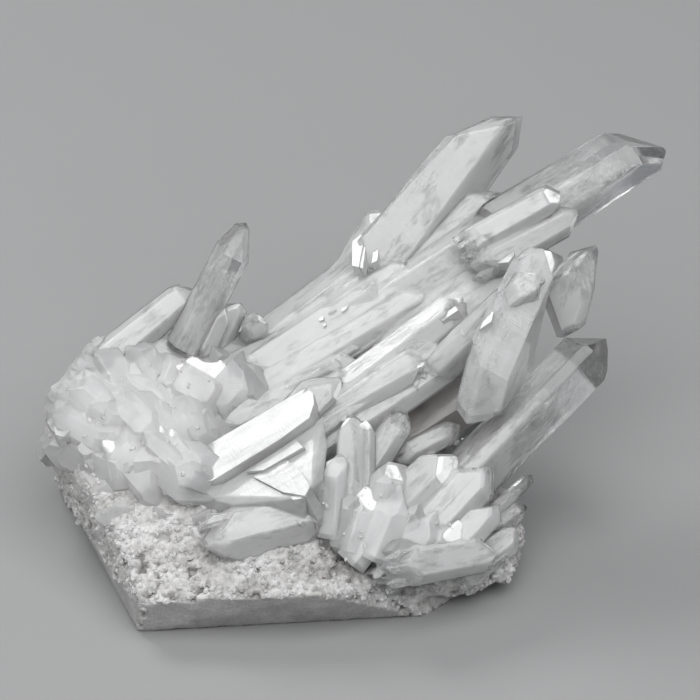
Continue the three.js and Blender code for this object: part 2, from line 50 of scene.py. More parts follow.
# ---- the crystals: name, node, root, tip, roll, taper, prism faces, termination faces, lower termination, tail
CRYSTALS = [
    ["long_point", "long_point", [88.1, 72.6, 69.7], [132.2, 101.0, 84.5], 33.5, 1.1, [8.1, 10.5, 8.8, 6.9, 8.6, 8.0], [-1.8, 2.6, 7.0, 6.7, 0.2, 3.4], None, 12],
    ["milky_point", "milky_point", [67.5, 80.0, 64.6], [93.3, 95.0, 95.2], 24.1, 2.4, [11.4, 6.8, 6.0, 10.0, 9.2, 5.5], [-1.0, 6.6, 7.2, 6.1, 0.8, 2.1], None, 12],
    ["right_crossing_point", "right_crossing_point", [106.2, 60.0, 50.0], [113.0, 67.0, 72.3], 9.2, 2.9, [8.5, 8.7, 10.4, 4.9, 7.7, 8.8], [-2.4, 6.0, 4.1, 4.9, 3.9, 5.7], [1.4, 9.3, 7.2, -1.2, 0.0, -10.6], 0],
    ["right_point", "right_point", [75.8, 21.5, 22.4], [115.9, 48.0, 53.5], 18.1, 0.1, [5.8, 8.6, 5.2, 6.7, 6.6, 9.2], [4.3, 8.6, 4.4, 4.1, 1.5, 8.7], None, 0],
    ["left_clear_point", "left_clear_point", [10.7, 61.0, 49.1], [25.3, 71.5, 75.8], 38.1, -0, [3.8, 5.3, 6.1, 3.9, 4.6, 2.9], [-1.5, -0.9, 0.6, 4.9, 4.1, 3.3], None, 4],
    ["crossing_blade", "crossing_blade", [86.6, 31.0, 48.7], [106.6, 64.0, 77.7], -17.1, 1.4, [7.0, 13.0, 5.7, 4.6, 15.4, 11.1], [0.0, 0.0, 0.3, 0.0, -13.8, 0.0], [11.8, 3.9, 0.7, 5.8, 8.2, 11.0], 0],
    ["front_tabular", "front_tabular", [15.9, 16.0, 28.0], [48.3, 29.0, 42.8], 45, 0, [6.4, 4.1, 11.6, 8.0, 7.0, 12.4], [8.0, 0.0, 6.0, 10.0, 10.0, 9.0], None, 0],
    ["S0", "main_spray", [30.8, 66.0, 36.5], [85.8, 88.0, 72.0], 28, 0.3, [9.3, 8.0, 8.9, 8.5, 7.9, 9.2], [4.6, 2.6, 3.7, 1.6, 6.7, -0.4], None, 8],
    ["S10", "main_spray", [38.2, 60.0, 44.8], [72.4, 76.0, 62.2], 12, 1, [6.4, 7.2, 7.6, 6.6, 7.3, 6.9], [0.1, 7.4, -1.5, 2.5, -1.0, 6.2], None, 12],
    ["S1b", "main_spray", [27.4, 56.0, 41.3], [67.5, 72.0, 55.9], 35, 1.5, [5.9, 5.8, 5.7, 6.8, 6.8, 5.6], [0.5, 5.1, -0.5, 4.0, 0.9, 3.8], None, 10],
    ["S1", "main_spray", [37.8, 52.0, 42.3], [74.3, 67.0, 58.7], 8, 1.4, [5.3, 5.1, 4.5, 4.4, 4.7, 5.2], [-0.5, 3.8, 1.0, 1.6, -0.0, 4.2], None, 10],
    ["S2", "main_spray", [79.1, 47.0, 52.0], [100.9, 49.5, 75.3], 20, 0.6, [4.5, 4.8, 3.8, 4.3, 4.2, 4.0], [3.0, 0.2, 2.1, 0.0, 3.6, -1.1], None, 7],
    ["S3", "main_spray", [70.0, 62.0, 50.3], [99.7, 76.0, 69.8], 5, 0.5, [7.2, 5.6, 5.8, 6.3, 7.2, 5.8], [-1.6, 3.3, -2.3, 4.9, -2.2, 6.6], None, 12],
    ["S3b", "main_spray", [62.4, 68.5, 53.6], [97.6, 79.0, 74.3], 30, 0.4, [6.8, 6.5, 6.5, 6.9, 6.5, 5.8], [2.1, 2.6, 1.3, 2.9, -1.5, 1.9], None, 12],
    ["S9", "main_spray", [59.7, 74.0, 54.9], [92.2, 88.0, 75.0], 15, 0.5, [7.1, 6.7, 5.9, 6.2, 6.1, 5.8], [1.6, 4.0, 0.3, 4.5, 0.0, 3.8], None, 10],
    ["S4", "main_spray", [57.0, 46.0, 46.0], [82.3, 58.0, 61.0], 40, 0.6, [4.9, 5.2, 5.1, 4.6, 4.9, 4.4], [3.2, -0.0, 5.1, 1.5, 3.2, 0.4], None, 10],
    ["S5", "main_spray", [71.2, 58.0, 48.2], [109.1, 76.0, 66.2], 22, 1.1, [8.2, 7.4, 7.8, 7.4, 6.9, 8.1], [6.1, -2.4, 4.6, -0.1, 3.5, -2.6], None, 12],
    ["S6", "main_spray", [50.2, 35.0, 36.2], [84.3, 52.0, 51.8], 10, 0.8, [4.5, 4.6, 5.0, 5.2, 5.3, 4.5], [1.5, 2.3, -1.3, 2.7, 0.6, 1.6], None, 10],
    ["S6b", "main_spray", [48.1, 38.0, 41.0], [79.3, 56.0, 55.3], 33, 1.3, [5.0, 6.1, 6.0, 4.9, 5.0, 5.6], [2.6, -0.9, 4.7, -2.0, 5.1, 1.7], None, 10],
    ["S7", "main_spray", [30.7, 44.0, 38.1], [56.8, 50.0, 48.9], 15, 0.5, [4.3, 4.4, 4.4, 4.9, 4.7, 5.4], [1.9, -1.7, 4.0, -0.2, 3.6, -0.9], None, 10],
    ["S8", "main_spray", [51.9, 38.0, 43.1], [72.0, 45.0, 52.1], 5, 0.5, [4.0, 3.4, 3.7, 4.0, 3.9, 3.9], [2.5, 1.0, 1.3, -1.1, 1.0, 0.0], None, 8],
    ["E1", "main_spray", [86.4, 68.0, 74.3], [107.7, 75.0, 84.1], 20, 0.5, [3.8, 3.7, 3.6, 3.9, 3.1, 3.2], [2.1, -0.9, 2.2, -1.0, 1.5, -0.2], None, 4],
    ["E2", "main_spray", [91.6, 67.0, 70.8], [112.0, 76.0, 77.9], 35, 1.5, [3.9, 4.7, 4.8, 4.8, 4.3, 4.4], [0.0, 2.2, -0.1, 2.2, -1.1, 4.4], None, 6],
    ["N1", "main_spray", [55.0, 80.0, 52.7], [55.5, 81.5, 67.1], 10, 1.4, [2.2, 1.8, 2.1, 1.9, 2.0, 1.9], [1.1, -0.5, 1.4, 0.5, 1.0, -0.8], None, 3],
    ["N2", "main_spray", [52.2, 80.0, 55.5], [62.3, 87.0, 71.4], 25, 0.9, [4.1, 4.1, 3.5, 3.4, 3.7, 3.3], [3.7, -0.3, 3.5, -1.3, 3.3, 0.4], None, 4],
    ["N3", "main_spray", [57.9, 78.0, 52.4], [59.9, 79.5, 65.3], 0, 1.2, [1.8, 1.7, 1.7, 1.5, 1.7, 1.4], [0.4, 0.0, 1.7, -0.5, 1.5, -0.4], None, 3],
    ["K2", "lower_right_points", [68.7, 8.0, 20.2], [88.8, 23.0, 35.3], 20, 0.6, [6.1, 5.0, 5.2, 5.8, 5.7, 5.7], [-0.7, 5.8, 0.4, 1.6, -0.3, 3.0], None, 0],
    ["K2b", "lower_right_points", [60.7, 14.0, 23.9], [79.9, 26.0, 36.9], 0, 0.8, [5.7, 5.2, 6.0, 5.6, 5.6, 5.9], [-0.6, 2.4, -2.1, 4.8, 0.5, 5.6], None, 0],
    ["Q", "lower_right_points", [78.7, 8.0, 19.6], [90.0, 17.0, 28.2], 10, 0.5, [4.8, 4.0, 4.3, 4.1, 4.8, 4.4], [-1.5, 4.3, 1.2, 1.3, 0.3, 3.4], None, 0],
    ["P", "lower_right_points", [71.9, 3.0, 19.6], [90.3, 11.0, 17.7], 30, 0.6, [5.4, 4.6, 4.8, 4.8, 4.8, 5.6], [-1.0, 4.7, 1.3, 3.5, -1.1, 4.8], None, 0],
    ["R", "lower_right_points", [86.0, 14.0, 12.1], [96.4, 23.0, 15.2], 15, 0.6, [4.0, 4.0, 4.2, 3.9, 3.8, 4.1], [0.1, 2.3, -0.5, 1.9, -1.0, 3.9], None, 0],
    ["S", "side_point_upper", [88.1, 22.0, 19.4], [99.7, 31.0, 26.1], 0, 1.3, [2.2, 2.0, 1.9, 1.8, 1.8, 2.1], [0.5, 1.0, -0.6, 1.5, 0.3, 0.9], None, 0],
    ["Sb", "side_point_lower", [89.1, 20.0, 17.7], [97.9, 27.0, 20.5], 30, 0.9, [2.3, 2.9, 2.3, 2.9, 2.3, 2.3], [2.6, -0.0, 0.9, 0.4, 0.9, -0.8], None, 0],
    ["T1", "gap_point_left", [57.7, 24.0, 33.4], [67.3, 33.0, 44.3], 20, 0.9, [3.3, 3.4, 3.5, 4.1, 3.5, 3.8], [3.4, -0.7, 1.1, 1.0, 1.5, 1.1], None, 0],
    ["T2", "gap_point_right", [69.7, 32.0, 33.4], [81.5, 39.0, 35.7], 10, 1.2, [3.1, 3.0, 2.9, 2.9, 2.7, 3.1], [0.6, 2.0, -0.3, 2.9, -0.4, 2.7], None, 0],
    ["V1", "upright_points", [52.0, 12.0, 25.3], [53.7, 27.0, 47.8], 5, 1.1, [3.6, 3.4, 4.1, 4.1, 4.0, 4.0], [-0.5, 3.7, -0.7, 1.5, 1.1, 1.1], None, 2],
    ["V2", "upright_points", [56.2, 15.0, 27.5], [56.7, 27.0, 45.7], 30, 0.5, [3.0, 2.7, 2.8, 2.9, 3.2, 3.0], [2.0, 0.4, 0.8, -0.3, 2.6, 0.3], None, 2],
    ["F0", "front_dome_point", [40.0, 34.2, 40.2], [50.3, 41.2, 49.2], 20, 0.5, [5.6, 5.5, 5.4, 4.9, 4.8, 6.1], [0.1, 4.1, 1.3, 4.8, 0.6, 4.5], None, 6],
    ["F2", "front_base_point", [24.5, 9.0, 25.0], [47.7, 16.0, 26.8], 15, 1.6, [5.9, 7.0, 6.9, 7.1, 7.1, 6.7], [6.6, 2.0, 3.2, 2.1, 6.7, -1.6], None, 0],
    ["H", "left_point", [-8.9, 55.0, 45.9], [13.4, 69.0, 58.7], 25, 1.1, [4.8, 4.3, 4.1, 4.4, 4.4, 4.0], [4.1, 0.1, 3.2, 0.6, 3.5, -1.0], None, 5],
    ["B", "left_stub", [27.0, 71.0, 37.6], [29.4, 59.0, 55.5], 0, 0.7, [3.6, 3.2, 3.2, 3.4, 3.0, 3.4], [0.3, 1.4, -0.5, 2.4, -0.4, 0.9], None, 0],
    ["G2", "left_side_points", [14.5, 60.0, 47.0], [20.3, 64.0, 58.1], 10, 1.5, [3.8, 3.6, 4.2, 4.3, 3.5, 3.5], [2.5, 0.9, 2.8, 0.0, 1.5, -1.2], None, 3],
    ["G3", "left_side_points", [18.3, 62.0, 44.1], [24.9, 66.0, 56.9], 30, 0.9, [2.9, 2.8, 2.9, 3.1, 3.5, 3.2], [-0.8, 1.3, 0.6, 2.2, -0.9, 1.2], None, 3],
    ["L1", "matrix", [-3.1, 46.0, 39.3], [-11.5, 57.0, 49.5], 0, 1.4, [5.3, 5.6, 4.4, 4.6, 5.1, 5.1], [-0.9, 3.4, 0.8, 4.2, -0.5, 1.6], None, 0],
    ["L2", "matrix", [-7.2, 38.0, 38.5], [-19.3, 47.0, 44.7], 10, 1.1, [4.4, 4.5, 5.2, 5.6, 5.4, 5.5], [-1.1, 2.7, -0.3, 3.5, 1.0, 2.2], None, 0],
    ["L3", "matrix", [-9.2, 34.0, 35.1], [-24.2, 44.0, 38.4], 20, 1.3, [4.7, 5.4, 4.8, 5.0, 5.1, 5.3], [-1.5, 3.0, -1.5, 2.6, 0.8, 2.5], None, 0],
    ["L4", "matrix", [-9.1, 34.0, 29.5], [-24.6, 48.0, 25.2], 30, 0.4, [4.5, 3.7, 4.0, 3.8, 4.0, 3.7], [3.9, -0.1, 1.6, -1.1, 2.8, -1.2], None, 0],
    ["L5", "matrix", [1.8, 52.0, 39.9], [-5.5, 60.0, 49.4], 15, 1.1, [6.2, 5.6, 6.6, 5.5, 6.6, 6.3], [1.0, 2.8, 1.6, 2.9, -0.5, 2.9], None, 0],
    ["L6", "matrix", [7.5, 48.0, 37.3], [2.2, 58.0, 46.7], 5, 0.9, [7.0, 6.3, 6.4, 6.2, 7.2, 5.9], [5.4, -2.2, 2.1, 1.9, 3.4, -2.1], None, 0],
    ["L7", "matrix", [16.1, 46.0, 37.7], [12.5, 58.0, 46.7], 25, 0.3, [9.0, 8.6, 8.3, 8.1, 8.6, 7.5], [0.9, 4.6, -2.7, 5.8, -2.4, 2.1], None, 0],
    ["L8", "matrix", [23.8, 46.0, 38.6], [24.4, 57.0, 47.4], 12, 0.7, [6.7, 6.6, 6.9, 6.8, 6.3, 7.3], [-1.5, 4.9, 0.5, 4.9, 2.1, 6.8], None, 0],
    ["L9", "matrix", [2.4, 36.0, 36.8], [-7.6, 47.0, 42.3], 33, 1.3, [5.8, 6.1, 6.0, 6.9, 6.4, 6.0], [2.1, 5.3, -0.4, 6.1, -1.9, 6.6], None, 0],
    ["L10", "matrix", [13.2, 33.0, 35.8], [6.0, 44.0, 41.5], 18, 1.3, [5.7, 7.2, 7.0, 6.2, 6.8, 6.9], [2.3, -1.1, 3.3, 0.2, 4.9, 1.8], None, 0],
    ["L11", "matrix", [-5.0, 28.0, 30.0], [-20.7, 42.0, 28.1], 8, 0.9, [5.5, 5.3, 5.8, 5.8, 5.5, 5.5], [1.4, 3.3, -0.3, 1.6, 1.6, 4.0], None, 0],
    ["L12", "matrix", [2.8, 24.0, 29.7], [-9.0, 36.0, 36.8], 28, 1.4, [6.0, 6.1, 5.7, 6.6, 6.6, 7.0], [3.6, -1.0, 5.1, 1.7, 5.1, 1.1], None, 0],
    ["L13", "matrix", [15.6, 20.0, 32.5], [2.5, 34.0, 35.1], 2, 1.4, [7.8, 7.1, 6.3, 7.6, 6.8, 7.8], [5.1, 1.9, 1.9, 2.2, 3.1, -2.4], None, 0],
    ["U1", "under_spray_point", [58, 46, 24], [92, 58, 42], 12, 0.8, [8.6, 7.8, 9.2, 8.4, 7.6, 9.0], [0, 3.4, -0.8, 2.6, 0.6, 4.2], None, 0],
    ["BK1", "back_point_1", [22, 72, 26], [8, 96, 39], 20, 0.8, [5.2, 4.6, 5.6, 5, 4.8, 5.4], [0, 3, 0.5, 2.6, -0.4, 3.4], None, 0],
    ["BK2", "back_point_2", [42, 74, 26], [45, 99, 37], 35, 0.9, [6.2, 5.6, 5.4, 6.4, 5.8, 5.2], [0.4, 3.6, -0.6, 2.8, 0.8, 3.2], None, 0],
    ["BK3", "back_point_3", [60, 66, 22], [88, 93, 43], 10, 0.8, [5.4, 5.0, 4.6, 5.8, 5.2, 4.8], [-0.5, 2.8, 0.6, 3.4, 0, 2.4], None, 0],
    ["BK4", "back_point_4", [4, 74, 19], [-12, 93, 25], 0, 1.2, [4.6, 4.2, 5, 4.4, 4.8, 4], [0, 2.4, 0.8, 3, 0.2, 2.6], None, 0],
    ["BK5", "back_point_5", [30, 78, 14], [24, 102, 30], 28, 1.0, [5.6, 5.0, 5.2, 5.4, 4.8, 5.8], [0.6, 3.2, 0, 2.6, -0.4, 3.6], None, 0],
    ["BK6", "back_point_6", [56, 72, 10], [66, 95, 22], 15, 1.1, [4.6, 4.9, 4.2, 4.7, 4.4, 5.0], [0, 2.8, 0.5, 2.2, 0.4, 3], None, 0],
    ["BK7", "back_point_7", [76, 54, 12], [101, 72, 26], 40, 0.9, [4.8, 5.2, 4.4, 4.9, 5.1, 4.5], [0.3, 2.6, -0.3, 3.1, 0.7, 2.5], None, 0],
]

# Corners of the block under them.
BLOCK = [
    [0, 0, 0], [72.1, 6.6, 0], [84, 18, 0], [90, 34, 0], [84, 58, 0], [66, 76, 0], [38, 88, 0],
    [8, 86, 0], [-14, 78, 0], [-23.2, 61.7, 0],
    [1.9, -4.6, 12.8], [16, -4.4, 14.2], [30.9, -4.8, 15], [45.7, -4.9, 15.2], [58.2, 0.7, 12.6], [65.8, 5.5, 8.4],
    [-2.6, 3.3, 10], [-6.1, 12.6, 10], [-9.5, 24.2, 10], [-12.4, 33.3, 10], [-18.2, 51.2, 10],
    [-22.5, 56.7, 9], [-23.9, 59, 10.3], [-25.9, 57, 14.6], [-26.2, 53.4, 20.2], [-25.4, 50, 27.3],
    [-25.6, 47, 34.9], [-25.1, 46, 39], [-20.8, 47, 45], [-14.6, 53, 50], [-12.9, 56, 50.8],
    [-8, 60, 50.3], [2, 62, 49.5], [14, 64, 49], [33, 66, 46], [52, 62, 39], [74, 58, 27], [88, 44, 17],
    [-16, 74, 36], [-8, 84, 22], [20, 89, 26], [44, 87, 24], [66, 76, 18],
]
FLOOR_LIFT = 4.5
SHELF = [
    [73, 8.2, FLOOR_LIFT], [80, 8, FLOOR_LIFT], [86, 11, FLOOR_LIFT], [94.3, 15.2, FLOOR_LIFT],
    [96.5, 24, FLOOR_LIFT + 0.5], [97.5, 34, FLOOR_LIFT + 0.5], [90, 45, FLOOR_LIFT], [78, 32, FLOOR_LIFT],
    [73.5, 6.8, 11], [84, 9, 14], [93, 14.5, 13], [96.5, 24, 14], [96, 36, 15], [86, 40, 23], [68, 28, 26], [62, 12, 18],
]

# ---- geometry of one crystal ------------------------------------------------------------------------------


def unit(v):
    return v / np.linalg.norm(v)


def crystal_frame(root, tip):
    """Axis, side and front directions of a crystal, with its length."""
    P = np.array(root, float)
    a = np.array(tip, float) - P
    length = float(np.linalg.norm(a))
    a = a / length
    side = np.cross(SIGHT, a)
    side = side / np.linalg.norm(side) if np.linalg.norm(side) > 1e-6 else np.array([1.0, 0.0, 0.0])
    front = np.cross(a, side)
    if front.dot(SIGHT) > 0:
        front, side = -front, -side
    return P, a, side, front, length


def crystal_planes(fr, roll, taper, prism, top, bottom, tail, k=1.0):
    """Half-spaces (normals, distances) of a crystal in the layout frame."""
    P, a, side, front, length = fr
    t = math.radians(taper)
    ns, ds = [], []
    for i in range(6):
        ang = math.radians(roll + 60 * i)
        r = side * math.cos(ang) + front * math.sin(ang)
        n = r * math.cos(t) + a * math.sin(t)
        ns.append(n)
        ds.append(n.dot(P) + prism[i] * k)
        n = r * math.sin(RHOMB_TILT) + a * math.cos(RHOMB_TILT)
        ns.append(n)
        ds.append(n.dot(P) + math.cos(RHOMB_TILT) * (length + top[i]))
        if bottom is not None:
            n = r * math.sin(RHOMB_TILT) - a * math.cos(RHOMB_TILT)
            ns.append(n)
            ds.append(n.dot(P) + math.cos(RHOMB_TILT) * bottom[i])
    if bottom is None:
        ns.append(-a)
        ds.append((-a).dot(P) + tail)
    return np.array(ns), np.array(ds)


def polyhedron(ns, ds, weld=0.05):
    """Corners and outward-wound polygons of the body inside the half-spaces."""
    tri = np.array(list(combinations(range(len(ns)), 3)))
    m = ns[tri]
    det = np.linalg.det(m)
    keep = abs(det) > 1e-6
    tri, m = tri[keep], m[keep]
    pts = np.linalg.solve(m, ds[tri][..., None])[..., 0]
    inside = (pts @ ns.T <= ds + 1e-6).all(1)
    corners = []
    for p in pts[inside]:
        if not any(np.linalg.norm(p - q) < weld for q in corners):
            corners.append(p)
    corners = np.array(corners)
    if len(corners) < 4:
        return None
    faces, used = [], []
    for n, d in zip(ns, ds):
        on = np.where(abs(corners @ n - d) < weld + 1e-3)[0]
        if len(on) < 3:
            continue
        c = corners[on].mean(0)
        u = corners[on[0]] - c
        u = u - n * u.dot(n)
        if np.linalg.norm(u) < 1e-6:
            continue
        u = u / np.linalg.norm(u)
        w = np.cross(n, u)
        rel = corners[on] - c
        order = np.argsort(np.arctan2(rel @ w, rel @ u))
        loop = [int(i) for i in on[order]]
        if set(loop) in used:
            continue
        used.append(set(loop))
        faces.append(loop)
    return corners, faces


class Builder:
    """Gathers closed bodies into one mesh, with how each point lies along and across its crystal."""

    def __init__(self):
        self.v, self.f, self.grow, self.age, self.n = [], [], [], [], 0

    def add(self, verts, faces, fr, shift=None, age=None):
        P, a, side, front, length = fr
        verts = np.asarray(verts, float)
        rel = verts - P
        g = np.stack([rel @ a, rel @ side, rel @ front], 1)
        if shift is not None:
            g = g + shift
        self.v.append(verts)
        self.grow.append(g)
        self.age.append(np.clip(rel @ a / length, 0, 1) if age is None else np.full(len(verts), age))
        self.f += [[i + self.n for i in f] for f in faces]
        self.n += len(verts)

    def object(self, name, material):
        v = np.concatenate(self.v)
        me = bpy.data.meshes.new(name)
        me.from_pydata(((v - CENTRE) * MM).tolist(), [], self.f)
        me.validate(clean_customdata=False)
        at = me.attributes.new("grow", "FLOAT_VECTOR", "POINT")
        at.data.foreach_set("vector", np.concatenate(self.grow).astype(np.float32).ravel())
        at = me.attributes.new("age", "FLOAT", "POINT")
        at.data.foreach_set("value", np.concatenate(self.age).astype(np.float32))
        me.materials.append(material)
        o = bpy.data.objects.new(name, me)
        bpy.context.scene.collection.objects.link(o)
        return o


class Skin:
    """Gathers closed bodies and makes one closed skin round them, without faces left inside."""

    def __init__(self):
        self.parts = []

    def add(self, verts, faces, fr, shift=None):
        verts = np.asarray(verts, float)
        count = {}
        for f in faces:
            for i, j in zip(f, f[1:] + f[:1]):
                k = (min(i, j), max(i, j))
                count[k] = count.get(k, 0) + 1
        if any(c != 2 for c in count.values()):
            verts, faces = hull(verts)
        ns, ds = [], []
        for f in faces:
            q = verts[f]
            n = np.cross(q - np.roll(q, 1, 0), np.roll(q, -1, 0) - q).sum(0)
            if np.linalg.norm(n) > 1e-4:
                n = unit(n)
                ns.append(n)
                ds.append(q.mean(0).dot(n))
        self.parts.append((verts, faces, fr, np.zeros(3) if shift is None else np.asarray(shift, float), np.array(ns), np.array(ds)))

    def object(self, name, material):
        scene = bpy.context.scene
        objs = []
        for v, f, *_ in self.parts:
            me = bpy.data.meshes.new("part")
            me.from_pydata(((v - CENTRE) * MM).tolist(), [], f)
            o = bpy.data.objects.new("part", me)
            scene.collection.objects.link(o)
            objs.append(o)
        for o in objs[1:]:
            m = objs[0].modifiers.new("join", "BOOLEAN")
            m.operation, m.solver, m.object = "UNION", "MANIFOLD", o
        dg = bpy.context.evaluated_depsgraph_get()
        dg.update()
        mesh = bpy.data.meshes.new_from_object(objs[0].evaluated_get(dg))
        for o in objs:
            bpy.data.objects.remove(o)
        # which crystal each polygon belongs to, and its corners along and across that crystal
        n = len(mesh.vertices)
        co = np.zeros(n * 3)
        mesh.vertices.foreach_get("co", co)
        co = co.reshape(-1, 3) / MM + CENTRE
        mid = np.array([co[list(pl.vertices)].mean(0) for pl in mesh.polygons])
        best = np.full(len(mid), 1e9)
        owner = np.zeros(len(mid), int)
        if len(self.parts) > 1:
            for k, part in enumerate(self.parts):
                d = abs((mid @ part[4].T - part[5]).max(1))
                closer = d < best
                best[closer] = d[closer]
                owner[closer] = k
        grow = np.zeros((len(mesh.loops), 3))
        for pl, k in zip(mesh.polygons, owner):
            P, a, side, front, length = self.parts[k][2]
            rel = co[list(pl.vertices)] - P
            grow[list(pl.loop_indices)] = np.stack([rel @ a, rel @ side, rel @ front], 1) + self.parts[k][3]
        at = mesh.attributes.new("grow", "FLOAT_VECTOR", "CORNER")
        at.data.foreach_set("vector", grow.astype(np.float32).ravel())
        mesh.materials.clear()
        mesh.materials.append(material)
        mesh.polygons.foreach_set("material_index", np.zeros(len(mesh.polygons), np.int32))
        mesh.polygons.foreach_set("use_smooth", np.zeros(len(mesh.polygons), bool))
        o = bpy.data.objects.new(name, mesh)
        scene.collection.objects.link(o)
        return o


def hull(points):
    bm = bmesh.new()
    for p in points:
        bm.verts.new(p)
    bmesh.ops.convex_hull(bm, input=list(bm.verts))
    loose = [v for v in bm.verts if not v.link_faces]
    bmesh.ops.delete(bm, geom=loose, context="VERTS")
    bmesh.ops.dissolve_limit(bm, angle_limit=math.radians(2.5), verts=list(bm.verts), edges=list(bm.edges))
    bm.verts.index_update()
    v = np.array([tuple(p.co) for p in bm.verts])
    f = [[p.index for p in q.verts] for q in bm.faces]
    bm.free()
    return v, f


def bevelled(verts, faces, width, segments=2, jitter=0.0, rng=None):
    """The same convex body with its edges rounded off."""
    bm = bmesh.new()
    vs = [bm.verts.new(p) for p in verts]
    for f in faces:
        try:
            bm.faces.new([vs[i] for i in f])
        except ValueError:
            pass
    bmesh.ops.remove_doubles(bm, verts=bm.verts, dist=width * 1.2)
    if width > 0:
        bmesh.ops.bevel(
            bm, geom=list(bm.edges), offset=width, offset_type="OFFSET", segments=segments,
            profile=0.6, affect="EDGES", clamp_overlap=True,
        )
    bm.verts.index_update()
    out_v = [tuple(v.co) for v in bm.verts]
    out_f = [[v.index for v in f.verts] for f in bm.faces]
    bm.free()
    return np.array(out_v), out_f


# ---- materials --------------------------------------------------------------------------------------------


def new_material(name):
    m = bpy.data.materials.new(name)
    m.use_nodes = True
    nt = m.node_tree
    return m, nt, nt.nodes["Principled BSDF"], nt.nodes["Material Output"]


def node(nt, kind, x=0, y=0, **values):
    n = nt.nodes.new(kind)
    n.location = (x, y)
    for k, v in values.items():
        if k in n.inputs:
            n.inputs[k].default_value = v
        else:
            setattr(n, k, v)
    return n


def growth_coords(nt, scale):
    """Coordinates along and across each crystal, stretched along its axis, for streaks and growth lines."""
    a = node(nt, "ShaderNodeAttribute", -1400, 0)
    a.attribute_name = "grow"
    m = node(nt, "ShaderNodeVectorMath", -1200, 0, operation="MULTIPLY")
    nt.links.new(a.outputs["Vector"], m.inputs[0])
    m.inputs[1].default_value = scale
    return m.outputs[0]


def noise_tex(nt, vec, scale, detail=4.0, rough=0.55, x=-900, y=0):
    n = node(nt, "ShaderNodeTexNoise", x, y)
    n.inputs["Scale"].default_value = scale
    n.inputs["Detail"].default_value = detail
    n.inputs["Roughness"].default_value = rough
    nt.links.new(vec, n.inputs["Vector"])
    return n.outputs["Fac"]


def ramp(nt, fac, stops, x=-600, y=0):
    r = node(nt, "ShaderNodeValToRGB", x, y)
    cr = r.color_ramp
    while len(cr.elements) < len(stops):
        cr.elements.new(0.5)
    for e, (p, c) in zip(cr.elements, stops):
        e.position = p
        e.color = (c, c, c, 1) if isinstance(c, (int, float)) else (*c, 1)
    nt.links.new(fac, r.inputs["Fac"])
    return r.outputs["Color"]


def bump(nt, heights, normal_in=None):
    """Chains (height socket, strength, distance in metres) into one normal."""
    prev = normal_in
    for h, strength, dist in heights:
        b = node(nt, "ShaderNodeBump", -200, -400)
        b.inputs["Strength"].default_value = strength
        b.inputs["Distance"].default_value = dist
        nt.links.new(h, b.inputs["Height"])
        if prev is not None:
            nt.links.new(prev, b.inputs["Normal"])
        prev = b.outputs["Normal"]
    return prev


def growth_lines(nt):
    """Fine steps across the prism faces and long shallow undulations, as heights."""
    fine = noise_tex(nt, growth_coords(nt, (2.2, 0.18, 0.18)), 1.0, 6.0, 0.62, y=-300)
    lines = ramp(nt, fine, [(0.38, 0.0), (0.44, 0.5), (0.47, 0.5), (0.56, 1.0)], y=-300)
    broad = noise_tex(nt, growth_coords(nt, (0.12, 0.3, 0.3)), 1.0, 3.0, 0.5, y=-600)
    return lines, broad


def clear_quartz(name, absorb=(0.90, 0.90, 0.89), density=6.0, rough=0.02):
    m, nt, p, out = new_material(name)
    p.inputs["Base Color"].default_value = (0.985, 0.985, 0.985, 1)
    p.inputs["Roughness"].default_value = rough
    p.inputs["IOR"].default_value = 1.544
    p.inputs["Transmission Weight"].default_value = 1.0
    lines, broad = growth_lines(nt)
    nt.links.new(bump(nt, [(lines, 0.12, 0.0002), (broad, 0.35, 0.0005)]), p.inputs["Normal"])
    ab = node(nt, "ShaderNodeVolumeAbsorption", 0, -300)
    ab.inputs["Color"].default_value = (*absorb, 1)
    ab.inputs["Density"].default_value = density
    nt.links.new(ab.outputs[0], out.inputs["Volume"])
    return m


def milky_quartz(name, clear=0.4, dark=0.55, light=0.9, tint=(1.0, 1.0, 0.995), sss=0.6, rough=0.09, depth=0.006):
    m, nt, p, out = new_material(name)
    streak = noise_tex(nt, growth_coords(nt, (0.035, 0.32, 0.32)), 1.0, 5.0, 0.6, y=200)
    cloud = noise_tex(nt, growth_coords(nt, (0.10, 0.16, 0.16)), 1.0, 5.0, 0.6, y=500)
    mix = node(nt, "ShaderNodeMix", -700, 300, data_type="FLOAT")
    mix.inputs[0].default_value = 0.45
    nt.links.new(streak, mix.inputs[2])
    nt.links.new(cloud, mix.inputs[3])
    lo = tuple(dark * t for t in tint)
    hi = tuple(light * t for t in tint)
    mid = tuple((0.35 * dark + 0.65 * light) * t for t in tint)
    col = ramp(nt, mix.outputs[0], [(0.34, lo), (0.5, mid), (0.64, hi)], x=-450, y=300)
    nt.links.new(col, p.inputs["Base Color"])
    p.inputs["Roughness"].default_value = rough
    p.inputs["IOR"].default_value = 1.544
    p.inputs["Transmission Weight"].default_value = clear
    p.inputs["Subsurface Weight"].default_value = sss
    p.inputs["Subsurface Radius"].default_value = (1.0, 0.97, 0.94)
    p.inputs["Subsurface Scale"].default_value = depth
    lines, broad = growth_lines(nt)
    nt.links.new(bump(nt, [(lines, 0.16, 0.0002), (broad, 0.4, 0.0006)]), p.inputs["Normal"])
    return m


